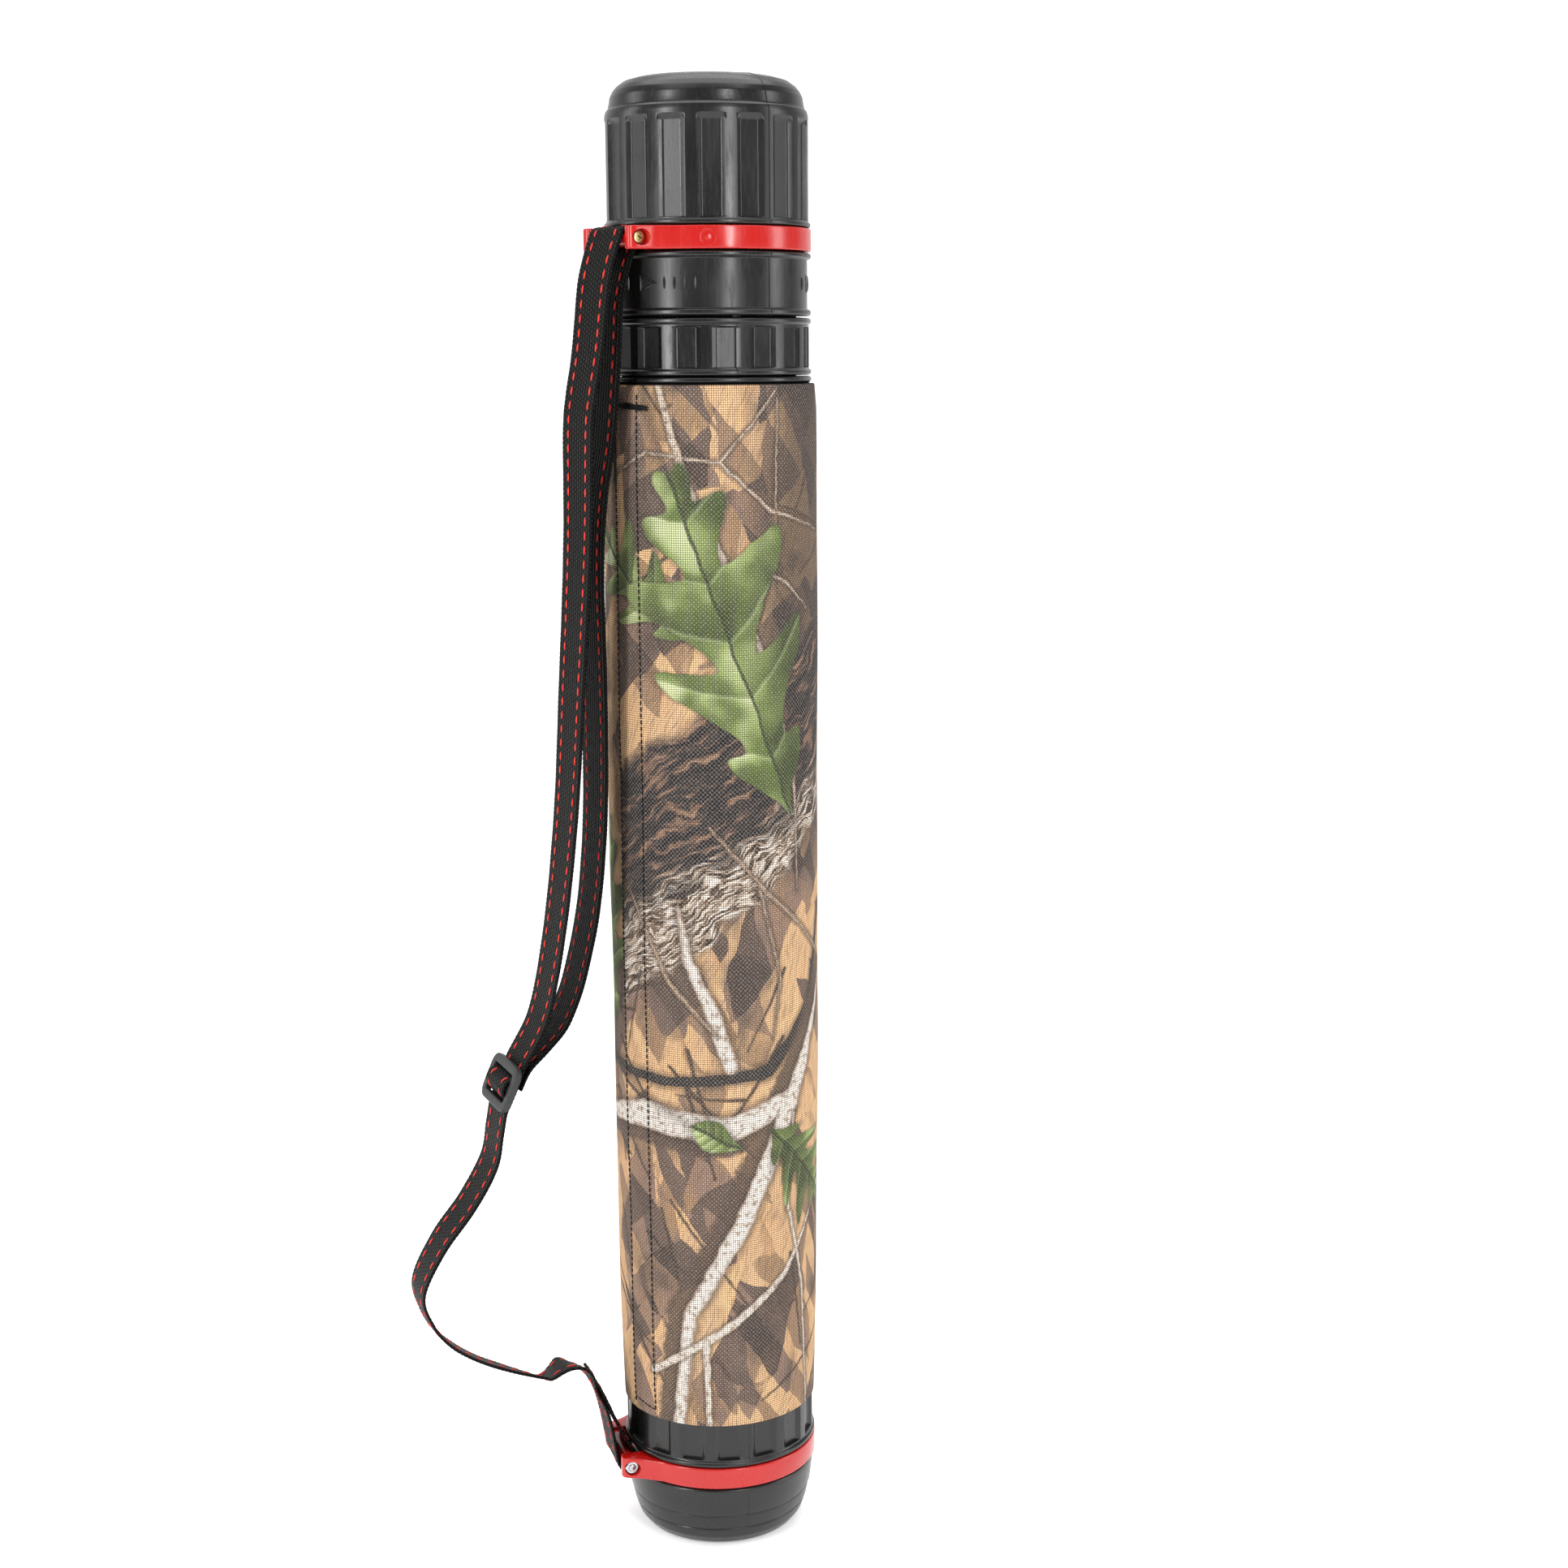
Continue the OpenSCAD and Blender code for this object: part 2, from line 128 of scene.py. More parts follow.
# Strap: route points are (distance from the axis, height, lean of the webbing's width if any)
STRAP_W = 25
STRAP_T = 1.5
STITCH_PITCH = 5.9
STITCH_LENGTH = 3.6
STITCH_ROW = 7.5
SLIDER_AT = (99.4, 217.8)
SLIDER_LEAN = 23.5
LOWER_BAR = sum(LOWER_RING) / 2
UPPER_BAR = sum(UPPER_RING) / 2
LOWER_INNER_LEG = [(60.5, 74.6), (58.5, 71.6), (54.5, 62.6), (52, 56.5), (48.5, 49), (44.9, 42.2)]
LOWER_OUTER_LEG = [(51.6, 42), (53.4, 52), (56, 62)]
LOWER_RUN = [
    (60.3, 71.35), (63, 76, -10), (66.8, 79.6, -16), (71, 81.2, -12), (75, 80.6, -9), (79, 77.6, -14),
    (82.5, 76.4, -20), (88, 78.6, -18), (98, 83, -15), (109, 88.4, -13), (119, 95, -10),
    (127, 102.4, -7), (133.5, 113, -3), (137, 128), (128, 147.5), (115, 165), (105.3, 182.5),
    (102.6, 197), (100.9, 207), (99.2, 211), (96.7, 216.75), (94.4, 222.1),
]
OUTER_LAYER = [
    (94.3, 222.3), (92.6, 226.9), (83.5, 243.5), (78.5, 263), (74, 291), (71, 318), (68.8, 345),
    (66.8, 385), (64.7, 425), (63.6, 457), (63.4, 495), (62, 509), (58.8, 528), (55.6, 556),
]
INNER_LAYER = [
    (94.5, 216.8), (90.2, 225.3), (83, 232.4), (75.5, 240.2), (71, 248.2), (66, 262), (60, 289),
    (57, 317), (55.9, 344), (56.1, 371), (56.8, 398), (58, 430), (57.9, 450), (56.4, 470),
    (53.4, 489), (51.8, 508), (50.6, 530), (50, 545), (47.8, 556), (44.8, 565.8),
]


# Meshes

def piece(name, points, faces, material, uvs=None, sharp=35):
    """A new mesh object from points in millimetres."""
    mesh = bpy.data.meshes.new(name)
    mesh.from_pydata((np.asarray(points, float) * MM).tolist(), [], faces)
    if uvs is not None:
        layer = mesh.uv_layers.new(name="cloth")
        corners = np.zeros(len(mesh.loops), int)
        mesh.loops.foreach_get("vertex_index", corners)
        layer.data.foreach_set("uv", np.asarray(uvs, np.float32)[corners].ravel())
    mesh.materials.append(material)
    obj = bpy.data.objects.new(name, mesh)
    bpy.context.scene.collection.objects.link(obj)
    smooth(obj, sharp)
    return obj


def smooth(obj, sharp=35):
    """Faces turned outwards and shaded smooth up to an angle."""
    shape = bmesh.new()
    shape.from_mesh(obj.data)
    bmesh.ops.recalc_face_normals(shape, faces=shape.faces)
    shape.to_mesh(obj.data)
    shape.free()
    obj.data.polygons.foreach_set("use_smooth", [True] * len(obj.data.polygons))
    obj.data.set_sharp_from_angle(angle=radians(sharp))


def settle(obj, body, slot, *nodes):
    """Hides the CAD nodes a piece stands for and hangs it on the body it rides on; its slot is not used."""
    if nodes:
        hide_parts(*nodes)
    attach(obj, body)


def cut(obj, cutter):
    """Takes the cutter's room out of a piece."""
    modifier = obj.modifiers.new("cut", "BOOLEAN")
    modifier.operation = "DIFFERENCE"
    modifier.solver = "EXACT"
    modifier.object = cutter
    result = obj.evaluated_get(bpy.context.evaluated_depsgraph_get())
    mesh = bpy.data.meshes.new_from_object(result)
    obj.modifiers.clear()
    obj.data = mesh
    bpy.data.objects.remove(cutter)
    smooth(obj)


def grid(rows, columns, around=True, closed=False):
    """Quads of a grid whose columns run around, and whose rows may close too."""
    last = columns if around else columns - 1
    turns = rows if closed else rows - 1
    return [
        (i * columns + k, i * columns + (k + 1) % columns,
         (i + 1) % rows * columns + (k + 1) % columns, (i + 1) % rows * columns + k)
        for i in range(turns) for k in range(last)
    ]


def capped(rows, columns):
    """Faces of a closed tube of rings, with both ends."""
    return grid(rows, columns) + [tuple(range(columns)), tuple(range((rows - 1) * columns, rows * columns))]


def join(*parts):
    """Points and faces of several shapes as one."""
    points, faces = [], []
    for some_points, some_faces in parts:
        base = len(points)
        points += [tuple(p) for p in some_points]
        faces += [tuple(v + base for v in face) for face in some_faces]
    return points, faces


def rounded(outline, radius=0.4, steps=2, closed=True):
    """An outline whose corners are short curves."""
    n = len(outline)
    result = []
    for i, corner in enumerate(outline):
        if (not closed and i in (0, n - 1)) or abs(corner[0]) < 0.05:
            result.append(tuple(corner))
            continue
        here = np.array(corner, float)
        ends = []
        for other in (outline[i - 1], outline[(i + 1) % n]):
            away = np.array(other, float) - here
            length = np.linalg.norm(away)
            ends.append(here + away / length * min(radius, length * 0.45))
        for k in range(steps + 1):
            t = k / steps
            result.append(tuple(ends[0] * (1 - t) ** 2 + here * 2 * t * (1 - t) + ends[1] * t * t))
    return result


def lathe(outline, angles, shape=None):
    """Points and faces of a closed outline of (radius, height) turned about the axis."""
    radius = np.array([max(r, 0.02) for r, z in outline])[:, None]
    height = np.array([z for r, z in outline])[:, None]
    turn = np.radians(np.array(angles))[None, :]
    if shape is not None:
        radius = shape(radius, height, turn)
    x = radius * np.cos(turn)
    y = radius * np.sin(turn)
    points = np.stack([x, y, np.broadcast_to(height, x.shape)], 2).reshape(-1, 3)
    return points, grid(len(outline), len(angles), closed=True)


def polar(radius, angle, z):
    return radius * cos(angle), radius * sin(angle), z


def block(a0, a1, r0, r1, z0, z1, edge=0.4):
    """A curved block between two headings, with softened edges."""
    section = rounded([(r0, z0), (r1, z0), (r1, z1), (r0, z1)], edge)
    steps = max(3, int((a1 - a0) / 3))
    inset = degrees(edge / r1)
    stops = [(a0, edge)] + [(a0 + inset + (a1 - a0 - 2 * inset) * i / steps, 0) for i in range(steps + 1)]
    stops.append((a1, edge))
    middle = ((r0 + r1) / 2, (z0 + z1) / 2)
    points = []
    for angle, shrink in stops:
        a = radians(angle)
        for r, z in section:
            r2 = middle[0] + (r - middle[0]) * (1 - shrink / (r1 - r0))
            z2 = middle[1] + (z - middle[1]) * (1 - shrink / (z1 - z0))
            points.append(polar(r2, a, z2))
    return points, capped(len(stops), len(section))


def slab(outline, low, high, edge):
    """A flat outline of (x, y) as a plate with rounded edges."""
    n = len(outline)
    plan = np.array(outline, float)
    if np.sum(plan[:, 0] * np.roll(plan[:, 1], -1) - np.roll(plan[:, 0], -1) * plan[:, 1]) < 0:
        plan = plan[::-1]
    before = plan - np.roll(plan, 1, 0)
    after = np.roll(plan, -1, 0) - plan
    before /= np.linalg.norm(before, axis=1)[:, None]
    after /= np.linalg.norm(after, axis=1)[:, None]
    normal = np.stack([(before + after)[:, 1], -(before + after)[:, 0]], 1)
    normal /= np.maximum(np.linalg.norm(normal, axis=1), 1e-6)[:, None]
    bend = np.clip(normal[:, 0] * after[:, 1] - normal[:, 1] * after[:, 0], 0.5, 1)
    outward = normal / bend[:, None]
    curve = [radians(a) for a in (0, 30, 60, 90)]
    rows = [(edge * (1 - sin(a)), low + edge * (1 - cos(a))) for a in curve]
    rows += [(edge * (1 - cos(a)), high - edge * (1 - sin(a))) for a in curve]
    points = [(p[0], p[1], z) for inset, z in rows for p in plan - outward * inset]
    faces = grid(len(rows), n)
    faces.append(tuple(range(n))[::-1])
    faces.append(tuple(range((len(rows) - 1) * n, len(rows) * n)))
    return points, faces


def tube(path, radius, sides):
    """A rounded thread along 3-D points, closed at both ends."""
    path = [Vector(p) for p in path]
    points = []
    for i, p in enumerate(path):
        along = (path[min(i + 1, len(path) - 1)] - path[max(i - 1, 0)]).normalized()
        outward = Vector((p.x, p.y, 0)).normalized()
        side = along.cross(outward).normalized()
        lift = side.cross(along).normalized()
        r = radius * (0.45 if i in (0, len(path) - 1) else 1)
        for k in range(sides):
            a = 2 * pi * k / sides
            points.append(p + (side * cos(a) + lift * sin(a)) * r)
    return points, capped(len(path), sides)


def arc(cx, cy, r, a0, a1, n):
    """Points on an arc, from angle a0 to a1 in degrees."""
    angles = [radians(a0 + (a1 - a0) * i / n) for i in range(n + 1)]
    return [(cx + r * cos(a), cy + r * sin(a)) for a in angles]


def turned(points, heading):
    """Points drawn with +x out along a heading, put in place. Headings run from -X towards the front."""
    a = radians(180 + heading)
    c, s = cos(a), sin(a)
    return [(c * x - s * y, s * x + c * y, z) for x, y, z in points]


# Materials

def tone(code, value=1.0):
    """A hex colour as linear RGBA."""
    parts = [int(code[i:i + 2], 16) / 255 for i in (1, 3, 5)]
    linear = [c / 12.92 if c <= 0.04045 else ((c + 0.055) / 1.055) ** 2.4 for c in parts]
    return (*[c * value for c in linear], 1)


class Shader:
    """A material whose node tree is written as expressions."""

    def __init__(self, name, **settings):
        self.material = bpy.data.materials.new(name)
        self.material.use_nodes = True
        self.tree = self.material.node_tree
        self.surface = self.tree.nodes["Principled BSDF"]
        self.set(**settings)

    def put(self, socket, value):
        if isinstance(value, bpy.types.NodeSocket):
            self.tree.links.new(value, socket)
        else:
            socket.default_value = tone(value) if isinstance(value, str) else value

    def set(self, **inputs):
        for name, value in inputs.items():
            self.put(self.surface.inputs[name.replace("_", " ")], value)

    def add(self, kind, inputs, output=0, **settings):
        node = self.tree.nodes.new(kind)
        for name, value in settings.items():
            setattr(node, name, value)
        for key, value in inputs.items():
            self.put(node.inputs[key], value)
        return node.outputs[output]

    def place(self, kind="Object"):
        return self.add("ShaderNodeTexCoord", {}, kind)

    def math(self, operation, *values, clamp=False):
        return self.add("ShaderNodeMath", dict(enumerate(values)), operation=operation, use_clamp=clamp)

    def plus(self, a, b):
        return self.math("ADD", a, b)

    def minus(self, a, b):
        return self.math("SUBTRACT", a, b)

    def times(self, a, b):
        return self.math("MULTIPLY", a, b)

    def times_plus(self, a, b, c):
        return self.math("MULTIPLY_ADD", a, b, c)

    def absolute(self, value):
        return self.math("ABSOLUTE", value)

    def clamped(self, value):
        return self.math("ADD", value, 0.0, clamp=True)

    def hump(self, value):
        """A row of humps, each one unit wide."""
        return self.absolute(self.math("SINE", self.times(value, pi)))

    def vector(self, operation, *values):
        output = 1 if operation in ("DOT_PRODUCT", "DISTANCE") else 0
        return self.add("ShaderNodeVectorMath", dict(enumerate(values)), output, operation=operation)

    def scaled(self, vector, factor):
        return self.add("ShaderNodeVectorMath", {0: vector, 3: factor}, operation="SCALE")

    def split(self, vector):
        node = self.tree.nodes.new("ShaderNodeSeparateXYZ")
        self.put(node.inputs[0], vector)
        return node.outputs

    def combine(self, x, y, z=0.0):
        return self.add("ShaderNodeCombineXYZ", {0: x, 1: y, 2: z})

    def noise(self, place, scale, detail=3.0, roughness=0.5, output=0):
        inputs = {"Vector": place, "Scale": scale, "Detail": detail, "Roughness": roughness}
        return self.add("ShaderNodeTexNoise", inputs, output)

    def cells(self, place, scale, output=0):
        return self.add("ShaderNodeTexVoronoi", {"Vector": place, "Scale": scale}, output)

    def step(self, value, low, high, to_low=0.0, to_high=1.0):
        inputs = {"Value": value, "From Min": low, "From Max": high, "To Min": to_low, "To Max": to_high}
        return self.add("ShaderNodeMapRange", inputs, interpolation_type="SMOOTHSTEP")

    def ramp(self, value, stops):
        node = self.tree.nodes.new("ShaderNodeValToRGB")
        self.put(node.inputs[0], value)
        elements = node.color_ramp.elements
        while len(elements) < len(stops):
            elements.new(0.5)
        for element, (position, colour) in zip(elements, stops):
            element.position = position
            element.color = tone(colour)
        return node.outputs[0]

    def curve(self, value, points):
        """A smooth curve through points, of which the first two are its ends."""
        node = self.tree.nodes.new("ShaderNodeFloatCurve")
        self.put(node.inputs["Value"], value)
        handles = node.mapping.curves[0].points
        for end, point in zip(handles, points):
            end.location = point
        for point in points[2:]:
            handles.new(*point)
        node.mapping.update()
        return node.outputs[0]

    def mix(self, factor, first, second):
        return self.add("ShaderNodeMix", {0: factor, 6: first, 7: second}, 2, data_type="RGBA")

    def bump(self, height, distance, strength=1.0):
        return self.add("ShaderNodeBump", {"Height": height, "Distance": distance, "Strength": strength})


def plastic(name, dark, light, roughness, coat=0.0, grain=0.000008):
    """Moulded plastic: faint flow marks, fine scuffs and a little orange peel."""
    g = Shader(name, Coat_Weight=coat, Coat_Roughness=0.12)
    at = g.place()
    clouds = g.noise(at, 28.0, 4.0)
    scuffs = g.noise(g.vector("MULTIPLY", at, (1.0, 1.0, 0.12)), 900.0, 3.0, 0.6)
    g.set(Base_Color=g.mix(clouds, dark, light))
    worn = g.step(scuffs, 0.45, 0.75, 0.0, 0.10)
    cloudy = g.step(clouds, 0.3, 0.7, roughness - 0.04, roughness + 0.05)
    g.set(Roughness=g.plus(worn, cloudy))
    peel = g.noise(at, 420.0, 2.0)
    g.set(Normal=g.bump(g.plus(peel, g.times(scuffs, 0.15)), grain, 0.3))
    return g.material


def metal(name, colour, roughness):
    """Plated steel with turning marks and dulled spots."""
    g = Shader(name, Metallic=1.0)
    at = g.place()
    spots = g.noise(at, 900.0, 4.0)
    lines = g.noise(g.vector("MULTIPLY", at, (1.0, 1.0, 6.0)), 1500.0, 2.0)
    g.set(Base_Color=g.mix(spots, colour, tone(colour, 0.7)))
    g.set(Roughness=g.step(spots, 0.3, 0.8, roughness, roughness + 0.25))
    g.set(Normal=g.bump(lines, 0.00002, 0.4))
    return g.material


def foam_material():
    """Open-celled grey foam."""
    g = Shader("foam", Roughness=0.95)
    at = g.place()
    pores = g.cells(at, 1500.0)
    clouds = g.noise(at, 60.0, 4.0)
    g.set(Base_Color=g.ramp(g.plus(g.times(clouds, 0.5), pores),
                            [(0.2, "#2c2d30"), (0.9, "#6a6b70")]))
    g.set(Normal=g.bump(pores, 0.0004, 0.8))
    return g.material


def webbing_material():
    """Black polypropylene webbing: cords along it, crossed in turn by the weft."""
    g = Shader("webbing", Specular_IOR_Level=0.07)
    across, along, _ = g.split(g.place("UV"))
    lane = g.math("DIVIDE", across, 2.0)
    shift = g.times(g.math("MODULO", g.math("FLOOR", g.plus(lane, 40.0)), 2.0), 0.5)
    rib = g.hump(lane)
    beat = g.plus(g.math("DIVIDE", along, 1.9), shift)
    hump = g.hump(beat)
    height = g.times(rib, g.plus(g.times(hump, 0.8), 0.2))
    fibres = g.noise(g.combine(across, g.times(along, 0.2)), 6.0, 3.0)
    # Painted light and shade: the raised cords are coloured lighter and the dips between them darker, with
    # the fibres' own tone mixed in
    shade = g.times(height, g.step(fibres, 0.2, 0.8, 0.6, 1.1))
    g.set(Base_Color=g.ramp(shade, [(0.0, "#010101"), (0.4, "#060606"), (0.9, "#2e2e2c")]))
    g.set(Roughness=g.step(fibres, 0.3, 0.7, 0.45, 0.62))
    g.set(Normal=g.bump(g.plus(height, g.times(fibres, 0.15)), 0.0005, 1.0))
    return g.material


def thread(name, colour, dark):
    """Twisted sewing thread."""
    g = Shader(name, Roughness=0.55, Specular_IOR_Level=0.2)
    at = g.place()
    plies = g.noise(g.vector("MULTIPLY", at, (1.0, 1.0, 0.4)), 2600.0, 2.0)
    g.set(Base_Color=g.mix(plies, dark, colour))
    g.set(Normal=g.bump(plies, 0.0001, 0.7))
    return g.material


class Print:
    """A printed woodland design, in millimetres of the cloth, painted layer over layer."""

    def __init__(self, shader):
        self.g = shader
        self.place = shader.place("UV")
        self.across, self.up, _ = shader.split(self.place)
        self.grain = shader.noise(self.place, 0.4, 4.0, 0.65)
        self.colour = None

    def paint(self, share, colour):
        self.colour = self.g.mix(share, self.colour, colour)

    def wobble(self, place, scale, amount):
        g = self.g
        push = g.vector("SUBTRACT", g.noise(place, scale, 3.0, output=1), (0.5, 0.5, 0.5))
        return g.vector("ADD", place, g.scaled(push, amount))

    def stroke(self, place, *routes):
        """How far a point is outside tapering sticks, whose routes are (x, z, half-width) points."""
        g = self.g
        nearest = None
        for (x0, z0, w0), (x1, z1, w1) in (pair for route in routes for pair in zip(route, route[1:])):
            run = Vector((x1 - x0, z1 - z0, 0))
            offset = g.vector("SUBTRACT", place, (x0, z0, 0))
            share = g.clamped(g.vector("DOT_PRODUCT", offset, tuple(run / run.length_squared)))
            away = g.vector("DISTANCE", offset, g.vector("MULTIPLY", tuple(run), g.combine(share, share)))
            away = g.minus(away, g.times_plus(share, w1 - w0, w0))
            nearest = away if nearest is None else g.math("MINIMUM", nearest, away)
        return nearest

    def after(self, place):
        """The same place, but worked out after the layers below, so the renderer holds few values."""
        return self.g.vector("ADD", place, self.g.scaled(self.colour, 1e-6))

    def sticks(self, place, routes, light, dark, shadow=2.0, rind=1.0):
        """Sticks with mottled bark, darker rims and a shadow."""
        g = self.g
        away = self.stroke(self.after(place), *routes)
        bark = g.mix(g.step(self.grain, 0.46, 0.66, 0.0, 0.85), light, dark)
        self.paint(g.step(away, shadow, 0.0, 0.0, 0.6), "#3a2e28")
        self.paint(g.step(away, 0.35, -0.35), g.mix(g.step(away, -rind, 0.1, 0.0, 0.85), bark, dark))

    def flank(self, place, routes, colour):
        """The shaded side of thick sticks, a little beside them."""
        g = self.g
        away = self.stroke(self.after(place), *routes)
        rough = g.times_plus(self.grain, -5.0, g.plus(away, 2.2))
        self.paint(g.step(rough, 1.5, -1.5, 0.0, 0.92), colour)

    def leaf(self, place, stem, tip, width, lobes, pale=0.0):
        """A leaf with (share of its length, share of its half-width) lobes, which sweep towards its tip."""
        g = self.g
        place = self.after(place)
        run = Vector((tip[0] - stem[0], tip[1] - stem[1], 0))
        axis = run.normalized()
        offset = g.vector("SUBTRACT", place, (stem[0], stem[1], 0))
        along = g.vector("DOT_PRODUCT", offset, tuple(axis / run.length))
        side = g.vector("DOT_PRODUCT", offset, (-axis.y, axis.x, 0))
        out = g.absolute(side)
        swept = g.times_plus(out, -0.62 / run.length, along)
        away = g.minus(out, g.times(g.curve(g.clamped(swept), lobes), width))
        inside = g.times(g.step(away, 0.5, -0.5), g.times(g.step(along, 0.0, 0.01), g.step(swept, 1.0, 0.99)))
        pleat = g.math("FRACT", g.times(g.minus(swept, 0.02), 6.0))
        vein = g.step(g.absolute(g.minus(pleat, 0.5)), 0.44, 0.49)
        clouds = g.step(g.noise(place, 0.035, 2.0), 0.35, 0.68, 0.1, 0.55)
        light = g.times_plus(pleat, 0.26, g.times_plus(g.step(side, -0.6, 0.6), 0.18, clouds))
        body = g.ramp(g.plus(light, pale - 0.15),
                      [(0.1, "#3a4822"), (0.42, "#68793f"), (0.6, "#99a968"), (0.85, "#d8e0ad")])
        body = g.mix(g.times(vein, 0.2), body, "#c9d8a4")
        midrib = g.step(g.minus(out, 0.7), 0.4, -0.3)
        body = g.mix(g.times(midrib, 0.9), body, "#2f3d22")
        body = g.mix(g.step(away, -1.6, 0.0, 0.0, 0.35), body, "#3f5230")
        shadow = g.times(g.step(away, 5.0, 0.0, 0.0, 0.45), g.step(along, -0.02, 0.03))
        self.paint(shadow, "#352b27")
        self.paint(inside, body)

    def cell_value(self, place, scale):
        """One random value for each cell."""
        return self.g.add("ShaderNodeSeparateColor", {0: self.g.cells(place, scale, output="Color")})

    def ground(self):
        """Folded dry leaves in a large and a small pattern, with soft shadows."""
        g = self.g
        bent = self.wobble(self.place, 0.02, 20.0)
        slant = g.vector("ADD", bent, g.combine(g.times(self.up, -0.35), 0.0))
        counter = g.vector("ADD", bent, g.combine(g.times(self.up, 0.5), 0.0))
        large = self.cell_value(g.vector("MULTIPLY", slant, (1.0, 0.5, 1.0)), 0.04)
        small = self.cell_value(g.vector("MULTIPLY", counter, (1.0, 0.35, 1.0)), 0.085)
        slope = g.noise(g.vector("MULTIPLY", bent, (1.0, 0.4, 1.0)), 0.05, 2.0)
        value = g.times_plus(large, 0.45, g.times_plus(small, 0.32, g.times(slope, 0.25)))
        self.colour = g.ramp(value, [(0.16, "#ebc08d"), (0.46, "#dfb283"), (0.485, "#a88560"),
                                     (0.6, "#927565"), (0.64, "#6d594e"), (0.84, "#4a3c35")])
        veins = g.noise(g.vector("MULTIPLY", slant, (1.6, 0.2, 1.0)), 0.5, 3.0)
        self.paint(g.step(veins, 0.45, 0.7, 0.0, 0.45), "#6d564a")
        shade = g.noise(g.vector("ADD", self.place, (300, 20, 0)), 0.018, 3.0, 0.6)
        self.paint(g.step(shade, 0.54, 0.7, 0.0, 0.7), "#3c3230")
        dusk = self.stroke(self.wobble(self.place, 0.03, 18.0), [(56, 510, 26), (48, 400, 30), (40, 330, 20)])
        self.paint(g.step(dusk, 18.0, -12.0, 0.0, 0.82), "#352d2c")

    def log(self):
        """A log with streaky bark, dark above and silvery below."""
        g = self.g
        rough = self.wobble(self.place, 0.06, 16.0)
        away = self.stroke(rough, [(-120, 250, 40), (-30, 312, 42), (50, 372, 34), (130, 420, 28)])
        tilt = Vector((0.86, 0.5, 0))
        along = g.vector("DOT_PRODUCT", rough, tuple(tilt))
        over = g.vector("DOT_PRODUCT", rough, (-tilt.y, tilt.x, 0))
        fibre = g.combine(g.times(along, 0.16), over)
        streak = g.noise(fibre, 0.34, 4.0, 0.6)
        thin = g.noise(fibre, 0.8, 3.0, 0.6)
        dark = g.ramp(streak, [(0.42, "#1d1b1e"), (0.53, "#383130"), (0.57, "#6d5142"), (0.67, "#9a7a62")])
        pale = g.ramp(thin, [(0.4, "#33291f"), (0.48, "#7d6655"), (0.54, "#c8b6a3"), (0.64, "#efe8df")])
        height = g.minus(over, g.times_plus(streak, 46.0, 214.0))
        self.paint(g.step(away, 3.0, -3.0), g.mix(g.step(height, 24.0, 40.0), pale, dark))

    def stalks(self, place):
        """Dry grass: thirty straight stalks, every third one forked."""
        rng = Random(11)
        routes = []
        for i in range(30):
            x = rng.uniform(-52, 52)
            z = rng.uniform(62, 280) if i < 24 else rng.uniform(400, 500)
            lean = radians(rng.choice((-1, 1)) * rng.uniform(10, 65))
            reach = rng.uniform(25, 70)
            tip = (x + reach * sin(lean), z + reach * cos(lean))
            routes.append([(x, z, rng.uniform(0.1, 0.4)), (*tip, rng.uniform(0.45, 0.85))])
            if i % 3 == 0:
                fork = (x - reach * 0.2, z + reach * 0.45, 0.1)
                routes.append([((x + tip[0]) / 2, (z + tip[1]) / 2, 0.6), fork])
        for start in range(0, 40, 10):
            self.sticks(place, routes[start:start + 10], "#5f4b3e", "#3c2f28", 1.0)

    def branches(self, place):
        """A dark root, and a white tree with its shaded side."""
        trunk = [(66, 262, 0.8), (52, 236, 2.6), (36, 206, 5.0), (12, 156, 4.2), (-13, 112, 3.4),
                 (-22, 40, 3.0)]
        bough = [(-66, 196, 3.0), (-34, 202, 6.5), (4, 197, 6.0), (36, 208, 4.5)]
        limb = [(6, 226, 3.6), (-1, 248, 3.4), (-12, 274, 2.2), (-16, 296, 0.8)]
        root = [(-64, 222, 1.5), (-20, 218, 2.2), (24, 222, 3.0), (50, 248, 2.6), (62, 290, 1.0)]
        self.sticks(place, [root], "#332f2d", "#232020", 3.5)
        beside = [(x - 5, z + 2, w + 2.5) for x, z, w in trunk]
        below = [(x, z - 6, w * 1.05) for x, z, w in bough]
        self.flank(place, [beside, below], "#57463c")
        self.sticks(place, [trunk, bough, limb], "#ece4da", "#8f7460", 4.0, 1.8)

    def twigs(self, place):
        """Thin twigs: white ones low, cream ones high and brown ones between."""
        self.sticks(place, [
            [(-32, 84, 1.8), (6, 108, 2.0), (32, 128, 1.5), (66, 170, 0.6)],
            [(-6, 100, 1.7), (-4, 40, 1.2)],
            [(38, 200, 0.7), (34, 160, 1.1), (44, 120, 1.0), (52, 40, 0.7)],
        ], "#e6dccf", "#8f7460")
        self.sticks(place, [
            [(-24, 520, 1.6), (-10, 474, 1.7), (8, 436, 1.6), (24, 396, 1.3), (38, 352, 1.0), (40, 300, 0.4)],
            [(-60, 470, 0.4), (-28, 486, 0.8), (4, 482, 0.8), (30, 512, 0.6)],
            [(4, 482, 0.8), (26, 462, 0.9), (62, 452, 0.4)],
            [(16, 440, 0.8), (34, 432, 0.8), (48, 420, 0.4)],
            [(30, 508, 0.5), (28, 440, 0.7), (10, 404, 0.5), (-4, 398, 0.3)],
        ], "#dccab6", "#6b5344")
        self.sticks(place, [
            [(-40, 300, 0.5), (-20, 262, 1.2), (0, 240, 0.8)],
            [(-2, 330, 0.6), (24, 300, 1.1), (60, 268, 1.0)],
            [(20, 302, 0.9), (30, 262, 0.8), (26, 236, 0.3)],
        ], "#b8a088", "#6b5344")

